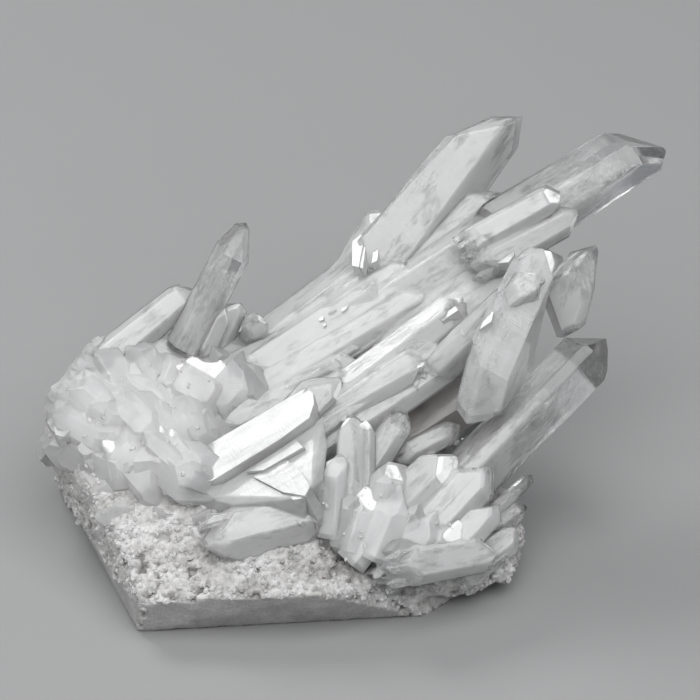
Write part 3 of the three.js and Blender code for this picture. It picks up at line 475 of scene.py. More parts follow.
def milk_glass(name, clear=0.55, dark=0.66, light=0.92, tint=(1.0, 1.0, 1.0), rough=0.04, sss=0.0, depth=0.004, fine=0.16):
    """Quartz with a milky veil in it: part of the light is scattered at the skin, the rest goes through."""
    m, nt, p, out = new_material(name)
    streak = noise_tex(nt, growth_coords(nt, (0.05, 0.42, 0.42)), 1.0, 6.0, 0.62, y=200)
    cloud = noise_tex(nt, growth_coords(nt, (0.16, 0.22, 0.22)), 1.0, 4.0, 0.6, y=500)
    mix = node(nt, "ShaderNodeMix", -700, 300, data_type="FLOAT")
    mix.inputs[0].default_value = 0.4
    nt.links.new(streak, mix.inputs[2])
    nt.links.new(cloud, mix.inputs[3])
    lo = tuple(dark * t for t in tint)
    hi = tuple(light * t for t in tint)
    mid = tuple((0.4 * dark + 0.6 * light) * t for t in tint)
    col = ramp(nt, mix.outputs[0], [(0.36, lo), (0.5, mid), (0.62, hi)], x=-450, y=300)
    nt.links.new(col, p.inputs["Base Color"])
    p.inputs["Roughness"].default_value = rough
    p.inputs["IOR"].default_value = 1.544
    p.inputs["Transmission Weight"].default_value = clear
    if sss:
        p.inputs["Subsurface Weight"].default_value = sss
        p.inputs["Subsurface Radius"].default_value = (1.0, 0.98, 0.96)
        p.inputs["Subsurface Scale"].default_value = depth
    lines, broad = growth_lines(nt)
    nt.links.new(bump(nt, [(lines, fine, 0.0002), (broad, 0.35, 0.0005)]), p.inputs["Normal"])
    return m


def cloud_material(name, low, high, white=0.97, strength=0.75):
    """Milky haze inside a clear crystal: thin where the noise is low and near the tip."""
    m, nt, p, out = new_material(name)
    n1 = noise_tex(nt, growth_coords(nt, (0.09, 0.30, 0.30)), 1.0, 6.0, 0.65, y=200)
    age = node(nt, "ShaderNodeAttribute", -1400, 500)
    age.attribute_name = "age"
    r = node(nt, "ShaderNodeMapRange", -900, 500)
    r.inputs["From Min"].default_value = low
    r.inputs["From Max"].default_value = high
    r.inputs["To Min"].default_value = 0.22
    r.inputs["To Max"].default_value = -0.22
    nt.links.new(age.outputs["Fac"], r.inputs["Value"])
    add = node(nt, "ShaderNodeMath", -600, 400, operation="ADD")
    nt.links.new(n1, add.inputs[0])
    nt.links.new(r.outputs["Result"], add.inputs[1])
    a = node(nt, "ShaderNodeMapRange", -350, 400)
    a.inputs["From Min"].default_value = 0.42
    a.inputs["From Max"].default_value = 0.68
    a.inputs["To Min"].default_value = 0.0
    a.inputs["To Max"].default_value = strength
    nt.links.new(add.outputs[0], a.inputs["Value"])
    nt.links.new(a.outputs["Result"], p.inputs["Alpha"])
    p.inputs["Base Color"].default_value = (white, white, white * 0.995, 1)
    p.inputs["Roughness"].default_value = 0.9
    p.inputs["Specular IOR Level"].default_value = 0.1
    return m


def heart_material():
    """The milky inside of the crystals and of the mass, with paler and greyer clouds."""
    m, nt, p, out = new_material("milky_heart")
    a = noise_tex(nt, growth_coords(nt, (0.10, 0.22, 0.22)), 1.0, 6.0, 0.62, y=200)
    b = noise_tex(nt, growth_coords(nt, (0.5, 0.9, 0.9)), 1.0, 4.0, 0.6, y=500)
    mix = node(nt, "ShaderNodeMix", -700, 300, data_type="FLOAT")
    mix.inputs[0].default_value = 0.35
    nt.links.new(a, mix.inputs[2])
    nt.links.new(b, mix.inputs[3])
    col = ramp(nt, mix.outputs[0], [(0.36, (0.70, 0.69, 0.68)), (0.5, (0.90, 0.895, 0.89)), (0.62, (0.985, 0.985, 0.98))], x=-450, y=300)
    nt.links.new(col, p.inputs["Base Color"])
    p.inputs["Roughness"].default_value = 0.7
    p.inputs["Specular IOR Level"].default_value = 0.15
    return m


def crust_material():
    m, nt, p, out = new_material("crust")
    tc = node(nt, "ShaderNodeTexCoord", -1600, 0)
    g1 = noise_tex(nt, tc.outputs["Object"], 900.0, 5.0, 0.6, x=-1100, y=300)
    g2 = noise_tex(nt, tc.outputs["Object"], 120.0, 4.0, 0.6, x=-1100, y=0)
    pit_shade = node(nt, "ShaderNodeAttribute", -1400, -300)
    pit_shade.attribute_name = "pit_shade"
    mix = node(nt, "ShaderNodeMix", -800, 200, data_type="FLOAT")
    mix.inputs[0].default_value = 0.5
    nt.links.new(g1, mix.inputs[2])
    nt.links.new(g2, mix.inputs[3])
    col = ramp(nt, mix.outputs[0], [(0.36, (0.34, 0.33, 0.32)), (0.5, (0.54, 0.53, 0.52)), (0.62, (0.74, 0.735, 0.73))], y=200)
    # painted shade: the crust colour is darkened towards near black in the pits, by how deep each pit is sunk
    dark = node(nt, "ShaderNodeMix", -300, 200, data_type="RGBA")
    nt.links.new(pit_shade.outputs["Fac"], dark.inputs[0])
    nt.links.new(col, dark.inputs[6])
    dark.inputs[7].default_value = (0.17, 0.16, 0.145, 1)
    nt.links.new(dark.outputs[2], p.inputs["Base Color"])
    rough = ramp(nt, g1, [(0.35, 0.25), (0.65, 0.6)], y=-100)
    nt.links.new(rough, p.inputs["Roughness"])
    p.inputs["IOR"].default_value = 1.544
    p.inputs["Subsurface Weight"].default_value = 0.35
    p.inputs["Subsurface Radius"].default_value = (1.0, 0.95, 0.9)
    p.inputs["Subsurface Scale"].default_value = 0.0025
    nt.links.new(bump(nt, [(g1, 0.5, 0.0006)]), p.inputs["Normal"])
    return m


def sawn_material():
    m, nt, p, out = new_material("sawn_quartz")
    tc = node(nt, "ShaderNodeTexCoord", -1600, 0)
    g1 = noise_tex(nt, tc.outputs["Object"], 1500.0, 4.0, 0.65, x=-1100, y=300)
    g2 = noise_tex(nt, tc.outputs["Object"], 160.0, 5.0, 0.6, x=-1100, y=0)
    mix = node(nt, "ShaderNodeMix", -800, 200, data_type="FLOAT")
    mix.inputs[0].default_value = 0.5
    nt.links.new(g1, mix.inputs[2])
    nt.links.new(g2, mix.inputs[3])
    col = ramp(nt, mix.outputs[0], [(0.36, (0.30, 0.295, 0.29)), (0.5, (0.42, 0.415, 0.41)), (0.64, (0.56, 0.555, 0.55))], y=200)
    nt.links.new(col, p.inputs["Base Color"])
    p.inputs["Roughness"].default_value = 0.62
    p.inputs["IOR"].default_value = 1.544
    nt.links.new(bump(nt, [(g1, 0.35, 0.0003)]), p.inputs["Normal"])
    return m


def floor_material():
    m, nt, p, out = new_material("floor")
    tc = node(nt, "ShaderNodeTexCoord", -1600, 0)
    g = noise_tex(nt, tc.outputs["Object"], 3.0, 3.0, 0.5, x=-1100, y=300)
    col = ramp(nt, g, [(0.3, (0.30, 0.30, 0.30)), (0.7, (0.32, 0.32, 0.32))])
    nt.links.new(col, p.inputs["Base Color"])
    p.inputs["Roughness"].default_value = 0.75
    p.inputs["Specular IOR Level"].default_value = 0.3
    return m


MILKY = milky_quartz("milky_quartz", clear=0.35, dark=0.58, light=0.8, sss=0.4, rough=0.07, depth=0.005)
BLADE = milk_glass("blade_quartz", clear=0.72, dark=0.80, light=0.96)
SPRAY = milk_glass("spray_quartz", clear=0.8, dark=0.84, light=0.98)
VEILED = milk_glass("veiled_quartz", clear=0.9, dark=0.88, light=0.98)
DRUSE = milk_glass("druse_quartz", clear=0.68, dark=0.84, light=0.98, rough=0.34)
FACET = milk_glass("small_facets", clear=0.4, dark=0.8, light=0.9, rough=0.05)
CLEAR = clear_quartz("clear_quartz")
HEART = heart_material()
# the crystal under the spray: a brownish tint of its own, with tones darker than the other milky quartz as painted
# shade of the gap under it
BROWN_AND_SHADED = milky_quartz("gap_quartz", clear=0.6, dark=0.5, light=0.72, tint=(1.0, 0.955, 0.92), sss=0.3, rough=0.08)
HEAVY_HAZE = cloud_material("heavy_haze", 0.75, 1.7, strength=0.97)
MID_HAZE = cloud_material("mid_haze", 0.4, 1.3, strength=0.85)
HAZE = cloud_material("haze", 0.25, 0.85)
CRUST = crust_material()
SAWN = sawn_material()

# ---- crystals ---------------------------------------------------------------------------------------------
rng = random.Random(41)
MAT = {
    "long_point": CLEAR, "right_point": CLEAR, "left_clear_point": CLEAR, "side_point_upper": CLEAR,
    "side_point_lower": CLEAR, "left_point": VEILED, "left_stub": VEILED, "milky_point": VEILED,
    "right_crossing_point": VEILED, "left_side_points": VEILED, "gap_point_left": VEILED, "gap_point_right": VEILED,
    "crossing_blade": BLADE, "under_spray_point": BROWN_AND_SHADED,
}
rows = {}
ROOTED = ("main_spray", "long_point", "matrix", "milky_point", "lower_right_points", "upright_points", "gap_point_left", "gap_point_right",
          "front_base_point", "left_side_points", "left_point", "side_point_upper", "side_point_lower")
LONGER = {"long_point": -15, "matrix": 3, "lower_right_points": 7, "front_base_point": 3, "upright_points": 4, "gap_point_left": 5, "gap_point_right": 5}
for row in CRYSTALS:
    if row[1] in ROOTED and row[8] is None:
        # the buried root narrows to a point instead of ending square
        mean = sum(row[6]) / 6
        row = list(row)
        row[8] = [row[9] + LONGER.get(row[1], 0) + mean * rng.uniform(0.6, 1.5) for _ in range(6)]
    rows.setdefault(row[1], []).append(row)


def parallel_growth(b, row, count, rng, widths=(0.9, 3.4), lengths=(0.3, 0.93), proud=(0.06, 0.3)):
    """Thin crystals of the same orientation, mostly sunk in the flanks of a larger one: ridges with their own tips."""
    name, _, root, tip, roll, taper, prism, top, bottom, tail = row
    fr = crystal_frame(root, tip)
    P, a, side, front, length = fr
    tt = math.radians(taper)
    for _ in range(count):
        w = rng.uniform(*widths) * min(1.0, sum(prism) / 36.0)
        l = length * rng.uniform(*lengths)
        rad = math.radians(rng.uniform(0, 360))
        best = 1e9
        for i in range(6):
            c = math.cos(math.radians(roll + 60 * i) - rad)
            if c > 0.05:
                best = min(best, (prism[i] - math.tan(tt) * l * 0.8) / c)
        r = best - w * (1 - rng.uniform(*proud))
        if r < 0:
            continue
        d = side * math.cos(rad) + front * math.sin(rad)
        start = 0.0
        sub = (P + d * r + a * start, a, side, front, l)
        pr = [w * rng.uniform(0.7, 1.1) for _ in range(6)]
        tp = [rng.uniform(-0.6, 1.6) * w * 0.6 for _ in range(6)]
        bt = None if bottom is None else [x for x in bottom]
        ns, ds = crystal_planes(sub, roll, taper, pr, tp, bt, 0)
        poly = polyhedron(ns, ds)
        if poly is None:
            continue
        v, f = bevelled(*poly, 0.06, 1)
        b.add(v, f, sub, shift=np.array([rng.uniform(-40, 40) for _ in range(3)]))


def satellites(row, count, rng, spread=0.75, size=(0.28, 0.6), reach=(0.35, 0.9), lean=5.0):
    """Smaller crystals grown beside a larger one at nearly its angle, as new table rows."""
    name, node_, root, tip, roll, taper, prism, top, bottom, tail = row
    P, a, side, front, length = crystal_frame(root, tip)
    mean = sum(prism) / 6
    out = []
    for k in range(count):
        rad = rng.uniform(0, 2 * math.pi)
        off = (side * math.cos(rad) + front * math.sin(rad)) * mean * spread * rng.uniform(0.6, 1.0)
        w = mean * rng.uniform(*size)
        root_off = off * max(0.0, min(0.8, 0.8 - w / mean))
        q = P + root_off + a * length * rng.uniform(0.0, 0.1)
        l = length * rng.uniform(*reach)
        tilt = math.radians(lean)
        d = unit(a * l + (off - root_off) * 0.9 + side * l * rng.uniform(-tilt, tilt) + front * l * rng.uniform(-tilt, tilt))
        out.append([
            name + "_s%d" % k, node_, list(q), list(q + d * l), rng.uniform(0, 60), rng.uniform(0.2, 1.6),
            [w * rng.uniform(0.75, 1.2) for _ in range(6)], [w * rng.uniform(-0.5, 0.9) for _ in range(6)], None, 0])
    return out


def shell(b, row, rng, width=0.16):
    name, _, root, tip, roll, taper, prism, top, bottom, tail = row
    fr = crystal_frame(root, tip)
    ns, ds = crystal_planes(fr, roll, taper, prism, top, bottom, tail)
    poly = polyhedron(ns, ds)
    v, f = bevelled(*poly, width, 2)
    b.add(v, f, fr, shift=np.array([rng.uniform(-60, 60) for _ in range(3)]))
    return fr


def heart(b, row, rng, wide=0.66, reach=0.72):
    """The opaque milky core of a crystal, thinning towards the tip."""
    name, _, root, tip, roll, taper, prism, top, bottom, tail = row
    fr = crystal_frame(root, tip)
    P, a, side, front, length = fr
    inner = (P, a, side, front, length * reach * rng.uniform(0.8, 1.15))
    ns, ds = crystal_planes(
        inner, roll + rng.uniform(-12, 12), taper + rng.uniform(2.0, 5.0), [d * wide * rng.uniform(0.75, 1.1) for d in prism],
        [rng.uniform(-4, 3) for _ in range(6)], None if bottom is None else [x - 2 for x in bottom], tail)
    poly = polyhedron(ns, ds)
    if poly is not None:
        v, f = bevelled(*poly, 0.6, 2)
        b.add(v, f, fr, shift=np.array([rng.uniform(-60, 60) for _ in range(3)]))


def trimmed(b, node_name, row):
    """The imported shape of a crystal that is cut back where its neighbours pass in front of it."""
    bm = bmesh.new()
    bm.from_mesh(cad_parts[node_name].data)
    bmesh.ops.remove_doubles(bm, verts=list(bm.verts), dist=2e-6)
    bmesh.ops.dissolve_limit(bm, angle_limit=math.radians(1.0), verts=list(bm.verts), edges=list(bm.edges))
    bmesh.ops.triangulate(bm, faces=[f for f in bm.faces if len(f.verts) > 4])
    bm.verts.index_update()
    v = np.array([tuple(p.co) for p in bm.verts]) / MM + CENTRE
    f = [[p.index for p in q.verts] for q in bm.faces]
    bm.free()
    b.add(v, f, crystal_frame(row[2], row[3]))


def haze(b, row, rng, layers=((0.93, 0.80), (0.80, 0.72), (0.62, 0.66), (0.42, 0.6)), reach=1.0):
    name, _, root, tip, roll, taper, prism, top, bottom, tail = row
    fr = crystal_frame(root, tip)
    P, a, side, front, length = fr
    for k, l in layers:
        inner = (P + a * 0.6, a, side, front, length * l * reach)
        tp = [t * 0.5 + rng.uniform(-1.5, 1.5) for t in top]
        bt = None if bottom is None else [x - 1.5 for x in bottom]
        ns, ds = crystal_planes(inner, roll, taper + 1.0, [d * k for d in prism], tp, bt, tail - 0.5)
        poly = polyhedron(ns, ds)
        if poly is None:
            continue
        v, f = bevelled(*poly, 0.5, 2)
        b.add(v, f, fr, shift=np.array([rng.uniform(-2, 2) for _ in range(3)]))


def finish_piece(o, replaced=()):
    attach(o, "root")
    if replaced:
        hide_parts(*replaced)
    return o


HAZE_MANY = ((0.93, 0.96), (0.68, 0.88))
HEARTS = {"front_base_point": (0.8, 0.9), "front_dome_point": (0.7, 0.7), "left_side_points": (0.5, 0.5)}
HEARTS.update({"back_point_%d" % k: (0.6, 0.6) for k in range(1, 8)})
HAZE_THIN = ((0.93, 0.80), (0.80, 0.72), (0.62, 0.66), (0.42, 0.6))
HAZES = {"long_point": HAZE_THIN, "left_clear_point": HAZE_THIN, "right_point": HAZE_THIN}
HAZE_MATERIAL = {"long_point": HAZE, "left_clear_point": HAZE, "right_point": HAZE, "right_crossing_point": MID_HAZE,
                 "gap_point_left": MID_HAZE, "gap_point_right": MID_HAZE, "side_point_upper": HAZE, "side_point_lower": HAZE}


for name, group in rows.items():
    if name in ("matrix", "front_tabular"):
        continue
    mat = MAT.get(name, SPRAY)
    b = Skin()
    h = Builder()
    c = Builder()
    extra = []
    for row in group:
        if name == "crossing_blade":
            trimmed(b, name, row)
        else:
            shell(b, row, rng)
        if name == "main_spray":
            extra += satellites(row, 2, rng, spread=0.8, size=(0.3, 0.55), reach=(0.45, 0.95))
        elif name in ("lower_right_points", "milky_point", "right_point", "long_point", "upright_points", "front_dome_point"):
            extra += satellites(row, 3, rng, spread=0.85, size=(0.2, 0.45), reach=(0.2, 0.6))
        elif name.startswith("back_point"):
            extra += satellites(row, 5, rng, spread=1.4, size=(0.35, 0.7), reach=(0.3, 0.65), lean=14)
        elif name in ("left_point", "left_clear_point", "left_side_points", "left_stub"):
            extra += satellites(row, 2, rng, spread=1.0, size=(0.3, 0.6), reach=(0.15, 0.4), lean=15)
        if name in ("main_spray", "lower_right_points", "upright_points") or name.startswith("back_point"):
            parallel_growth(b, row, 4, rng, widths=(0.8, 2.8), proud=(0.05, 0.2))
        elif name not in ("left_clear_point", "crossing_blade", "right_crossing_point"):
            parallel_growth(b, row, 2, rng, widths=(0.8, 2.2), lengths=(0.2, 0.7), proud=(0.05, 0.15))
        if mat is not BROWN_AND_SHADED:
            haze(h, row, rng, HAZES.get(name, HAZE_MANY))
            if name in HEARTS:
                heart(c, row, rng, *HEARTS[name])
    for row in extra:
        shell(b, row, rng, 0.1)
        if mat is not BROWN_AND_SHADED:
            haze(h, row, rng, ((0.88, 0.92),))
    o = b.object(name + "_quartz", mat)
    if c.n:
        finish_piece(c.object(name + "_heart", HEART), ())
    finish_piece(o, (name,))
    if h.n:
        finish_piece(h.object(name + "_haze", HAZE_MATERIAL.get(name, HEAVY_HAZE)), ())


# ---- the broad stepped crystal at the front -----------------------------------------------------------------
STEP_N = np.array([-0.3182, -0.2486, 0.9148])
STEP_N = STEP_N / np.linalg.norm(STEP_N)
STEP_TOP = [[12.5, 25.1, 36.3], [42.1, 36.2, 49.6], [43.9, 33.7, 49.6], [44.2, 30.4, 48.8], [43.0, 26.1, 47.2],
            [35.2, 21.8, 43.3], [18.8, 15.0, 35.8], [13.3, 15.2, 33.9]]
STEP_RIB = [[27.3, 17.4, 37.0], [39.5, 23.3, 42.8], [41.6, 20.0, 42.6], [31.5, 16.2, 38.1]]
STEP_LOW = [[29.0, 16.1, 36.3], [34.2, 19.6, 39.1], [37.4, 18.4, 39.9], [41.3, 13.1, 39.8], [43.4, 8.0, 39.2],
            [42.1, 5.4, 38.0], [36.5, 8.6, 36.9]]


def slab(points, depth, grow=1.0, pull=(0, 0, 0), lift=0.0):
    """A body with the given flat top, lowered by depth along the step normal and swollen below."""
    top = np.array(points, float) + STEP_N * lift
    c = top.mean(0)
    low = c + (top - c) * grow - STEP_N * depth + np.array(pull, float)
    return hull(list(top) + list(low))


step_fr = crystal_frame([15.9, 16.0, 28.0], [48.3, 29.0, 42.8])
b = Builder()


def put(v, f, width=0.12, segs=2):
    v, f = bevelled(v, f, width, segs)
    b.add(v, f, step_fr, shift=np.array([rng.uniform(-9, 9) for _ in range(3)]))


put(*slab(STEP_TOP, 15, 1.02, (0, 3, 0)))
put(*slab(STEP_RIB, 9, 1.15, (0, 2, 0)))
put(*slab(STEP_LOW, 14, 1.12, (-1, 2, 0)))
# body between the steps, reaching down to the block
core = [np.array(p) - STEP_N * 3.6 for p in STEP_TOP[4:]] + [np.array(p) - STEP_N * 0.9 for p in STEP_LOW]
core += [np.array([46.5, 14, 37.0]), np.array([47.5, 22, 41]), np.array([46.5, 30, 45.0]), np.array([24.0, 11.5, 31.0])]
core = core + [p + np.array([-1, 5, -17]) for p in core]
put(*hull(core), 0.3, 2)
# broken, blocky end of the top face
for _ in range(26):
    t = rng.random()
    q = np.array([12.6, 24.0, 35.8]) * (1 - t) + np.array([14.0, 15.4, 33.9]) * t
    q = q + (np.array([42.1, 36.2, 49.6]) - np.array([12.5, 25.1, 36.3])) * rng.uniform(-0.03, 0.13)
    u = unit(np.array([29.6, 11.1, 13.3]))
    w = np.cross(STEP_N, u)
    a1, a2 = rng.uniform(0.5, 1.7), rng.uniform(0.5, 1.5)
    sq = [q + u * a1 * sx + w * a2 * sy * rng.uniform(0.7, 1.2) for sx, sy in ((1, 1), (1, -1), (-1, -1), (-1, 1))]
    put(*slab(sq, 3.5, 1.1, (0, 0, 0), rng.uniform(-0.5, 0.35)), 0.08, 1)
row = ["front_tabular", "front_tabular", [17.9, 22.0, 26.0], [47.3, 31.0, 41.8], 45, 0, [5, 4, 7, 6, 5, 6], [6, 0, 4, 8, 8, 7], None, 0]
for extra in satellites(row, 0, rng):
    v, f = bevelled(*polyhedron(*crystal_planes(crystal_frame(extra[2], extra[3]), extra[4], extra[5], extra[6], extra[7], None, 0)), 0.12, 2)
    b.add(v, f, step_fr)
finish_piece(b.object("front_tabular_quartz", MILKY), ("front_tabular",))

# ---- small facets that stand in the same direction as the steps -----------------------------------------------
FACETS = [  # corners of each facet in the layout frame, and how deep its crystal goes
    ([[53.8, 77.8, 67.5], [55.9, 79.1, 68.6], [57.0, 78.6, 68.8], [55.4, 68.2, 65.5], [53.7, 69.4, 65.2]], 3),
    ([[57.0, 79.3, 68.4], [57.7, 79.1, 68.6], [57.4, 76.3, 67.8], [56.5, 68.1, 65.2], [55.4, 68.9, 65.1]], 3),
    ([[59.4, 76.5, 67.1], [60.7, 76.1, 67.5], [60.2, 70.9, 65.9], [58.7, 70.5, 65.2]], 3),
    ([[75.4, 52.1, 60.3], [80.0, 54.3, 62.4], [80.6, 52.7, 62.2], [76.6, 50.7, 60.3]], 3),
    ([[88.1, 43.5, 68.9], [89.1, 41.5, 68.7], [88.5, 38.7, 67.8], [85.5, 37.2, 66.3], [87.0, 39.9, 67.6]], 3),
    ([[92.0, 62.7, 71.9], [94.9, 65.0, 73.5], [94.9, 62.2, 72.8], [93.5, 60.4, 71.8], [90.7, 61.1, 71.0]], 3),
    ([[70.2, 45.0, 50.3], [72.0, 45.0, 50.9], [71.4, 42.9, 50.1], [69.9, 42.9, 49.6]], 2),
    ([[71.2, 43.6, 49.4], [72.7, 43.4, 49.9], [72.2, 41.6, 49.2], [70.9, 42.1, 48.9]], 2),
    ([[69.2, 41.0, 47.8], [70.4, 42.2, 48.5], [70.7, 41.1, 48.3], [69.6, 39.6, 47.5]], 2),
    ([[45.0, 60.4, 54.9], [46.5, 60.5, 55.5], [46.3, 59.3, 55.1], [45.2, 59.3, 54.7]], 2),
    ([[47.6, 61.4, 56.1], [49.6, 61.6, 56.9], [48.8, 60.9, 56.5], [47.6, 60.7, 56.0]], 2),
    ([[50.9, 61.8, 56.8], [52.7, 62.4, 57.6], [52.2, 61.3, 57.1], [51.1, 60.7, 56.6]], 2),
    ([[46.0, 58.9, 54.1], [47.0, 59.6, 54.6], [47.0, 58.2, 54.2], [46.3, 57.8, 53.8]], 2),
    ([[50.9, 33.4, 43.2], [52.4, 33.5, 43.7], [52.2, 31.3, 43.0], [50.9, 31.4, 42.6]], 2),
    ([[38.4, 7.4, 36.5], [41.8, 6.8, 37.6], [41.4, 5.7, 37.1], [39.1, 5.9, 36.4]], 2),
    ([[39.3, 7.6, 29.1], [41.5, 6.5, 29.6], [40.8, 5.9, 29.1]], 2),
]
b = Builder()
for corners, depth in FACETS:
    v, f = slab(corners, depth, 1.08, (0, 0.4, 0))
    v, f = bevelled(v, f, 0.05, 1)
    b.add(v, f, step_fr, shift=np.array([rng.uniform(-30, 30) for _ in range(3)]))
finish_piece(b.object("small_facets", FACET), ())

# ---- block ------------------------------------------------------------------------------------------------
raw = Builder()
flat_fr = (np.zeros(3), np.array([0.0, 0, 1]), np.array([1.0, 0, 0]), np.array([0, 1.0, 0]), 40.0)
raw.add(*hull(BLOCK), flat_fr)
raw.add(*hull(SHELF), flat_fr)
work = raw.object("matrix_work", CRUST)
md = work.modifiers.new("remesh", "REMESH")
md.mode = "VOXEL"
md.voxel_size = 0.0010
dg = bpy.context.evaluated_depsgraph_get()
me = bpy.data.meshes.new_from_object(work.evaluated_get(dg))
bpy.data.objects.remove(work)
n = len(me.vertices)
co = np.zeros(n * 3)
me.vertices.foreach_get("co", co)
co = co.reshape(-1, 3)
no = np.zeros(n * 3)
me.vertices.foreach_get("normal", no)
no = no.reshape(-1, 3)
lay = co / MM + CENTRE  # layout frame, mm


def plane_through(a, b, c):
    a, b, c = (np.array(x, float) for x in (a, b, c))
    n = unit(np.cross(b - a, c - a))
    return n, n.dot(a)


pit_shade = np.zeros(n)
new = lay.copy()
sawn = np.zeros(n, bool)
FRONT_N, FRONT_D = plane_through([0, 0, 0], [72.1, 6.6, 0], [30.9, -4.8, 15])
LEFT_N, LEFT_D = plane_through([0, 0, 0], [-2.6, 3.3, 10], [-12.4, 33.3, 10])
if FRONT_N[1] > 0:
    FRONT_N, FRONT_D = -FRONT_N, -FRONT_D
if LEFT_N[0] > 0:
    LEFT_N, LEFT_D = -LEFT_N, -LEFT_D
for i in range(n):
    p, m_ = lay[i], no[i]
    front = m_.dot(FRONT_N) > 0.93 and p[2] < 15.5 and abs(p.dot(FRONT_N) - FRONT_D) < 2.2 and p[0] < 66
    left = m_.dot(LEFT_N) > 0.90 and p[2] < 10.5 and abs(p.dot(LEFT_N) - LEFT_D) < 2.5
    under = m_[2] < -0.9 and p[2] < 1.0
    if front or left or under:
        sawn[i] = True
        continue
    q = Vector(p)
    # how coarse and pitted the crust is here: sugary low on the block, smooth and waxy high on the left
    low = min(1.0, max(0.0, (34 - p[2]) / 14)) if p[0] > 5 or p[2] < 22 else 0.15
    cover = min(1.0, max(0.0, (p[2] - 27) / 7))
    big = noise.noise(q * 0.16) * 1.0 + noise.noise(q * 0.33 + Vector((7, 1, 4))) * 0.6
    fine = noise.noise(q * 0.9) * 0.45 + noise.noise(q * 1.7 + Vector((3, 8, 2))) * 0.25
    hole = noise.noise(q * 0.42 + Vector((11, 5, 9)))
    hole2 = noise.noise(q * 0.8 + Vector((2, 15, 19)))
    sink = max(0.0, hole - 0.22) * 5.5 * low + max(0.0, hole2 - 0.3) * 3.2 * low
    d = big * (0.5 + 0.5 * low) + fine * (0.4 + 0.9 * low) - sink
    d -= 3.5 * cover
    edge = min(1.0, max(0.0, p[2] / 1.2))
    new[i] = p + m_ * d * edge
    # painted shade: how deep the pit is sunk here, which darkens the crust colour in it
    pit_shade[i] = min(1.0, sink * 0.55)
new[:, 2] = np.maximum(new[:, 2], 0.0)
flat = lay[:, 2] < 0.35
new[flat, 2] = 0.0
me.vertices.foreach_set("co", ((new - CENTRE) * MM).ravel())
me.update()
at = me.attributes.new("pit_shade", "FLOAT", "POINT")
at.data.foreach_set("value", pit_shade.astype(np.float32))
me.materials.clear()
me.materials.append(CRUST)
me.materials.append(SAWN)
mi = np.zeros(len(me.polygons), np.int32)
for pl in me.polygons:
    if all(sawn[v] for v in pl.vertices):
        mi[pl.index] = 1
me.polygons.foreach_set("material_index", mi)
me.polygons.foreach_set("use_smooth", np.ones(len(me.polygons), bool))
block = bpy.data.objects.new("block", me)
bpy.context.scene.collection.objects.link(block)
finish_piece(block, ("matrix",))
print("block", n, "points", len(me.polygons), "faces")

# milky mass that the crystals grow out of and that fills the angles between them
mb = Builder()
for node_name, group in rows.items():
    for row in group:
        name, _, root, tip, roll, taper, prism, top, bottom, tail = row
        fr = crystal_frame(root, tip)
        P, a, side, front, length = fr
        if node_name in ("crossing_blade", "right_crossing_point", "side_point_upper", "side_point_lower", "gap_point_left", "gap_point_right"):
            continue
        keep = {"main_spray": 0.66, "matrix": 1.0, "under_spray_point": 0.6}.get(node_name, 0.35)
        wide = {"matrix": 1.0, "main_spray": 0.84}.get(node_name, 0.8)
        short = (P - a * 2.0, a, side, front, length * keep)
        ns, ds = crystal_planes(
            short, roll, taper + (1.0 if node_name == "matrix" else 5.0), [d * wide for d in prism], [t * keep for t in top], None, 0)
        poly = polyhedron(ns, ds)
        if poly is not None:
            mb.add(*poly, fr)
        if node_name == "matrix":
            for sat in satellites(row, 5, rng, spread=1.15, size=(0.3, 0.8), reach=(0.7, 1.05), lean=16):
                f2 = crystal_frame(sat[2], sat[3])
                poly = polyhedron(*crystal_planes(f2, sat[4], sat[5], sat[6], sat[7], None, 2))
                if poly is not None:
                    mb.add(*poly, f2)
mid = np.array([30.0, 40.0, 22.0])
swell = [mid + (np.array(p, float) - mid) * (0.90 + 0.10 * min(1.0, max(0.0, (p[2] - 20) / 13))) for p in BLOCK]
mb.add(*hull(swell), flat_fr)
core_obj = mb.object("mass_core", DRUSE)


def applied(o, steps):
    """The object's mesh after a row of modifiers, as a new mesh."""
    for kind, values in steps:
        m = o.modifiers.new(kind, kind)
        for k, val in values.items():
            setattr(m, k, val)
    dg = bpy.context.evaluated_depsgraph_get()
    mesh = bpy.data.meshes.new_from_object(o.evaluated_get(dg))
    bpy.data.objects.remove(o)
    return mesh


def coords(mesh, what="co"):
    c = np.zeros(len(mesh.vertices) * 3)
    mesh.vertices.foreach_get(what, c)
    return c.reshape(-1, 3)


def as_object(mesh, name, material):
    """A mesh of the mass as an object, with coordinates along the main direction of growth."""
    c = coords(mesh) / MM
    u = unit(np.array([55.0, 22.0, 35.0]))
    g = c @ u
    r = c - np.outer(g, u)
    at = mesh.attributes.get("grow") or mesh.attributes.new("grow", "FLOAT_VECTOR", "POINT")
    at.data.foreach_set("vector", np.stack([g, r[:, 0] + 0.4 * r[:, 2], r[:, 1] - 0.4 * r[:, 2]], 1).astype(np.float32).ravel())
    at = mesh.attributes.get("age") or mesh.attributes.new("age", "FLOAT", "POINT")
    at.data.foreach_set("value", np.zeros(len(mesh.vertices), np.float32))
    mesh.materials.clear()
    mesh.materials.append(material)
    mesh.polygons.foreach_set("use_smooth", np.zeros(len(mesh.polygons), bool))
    o = bpy.data.objects.new(name, mesh)
    bpy.context.scene.collection.objects.link(o)
    return o


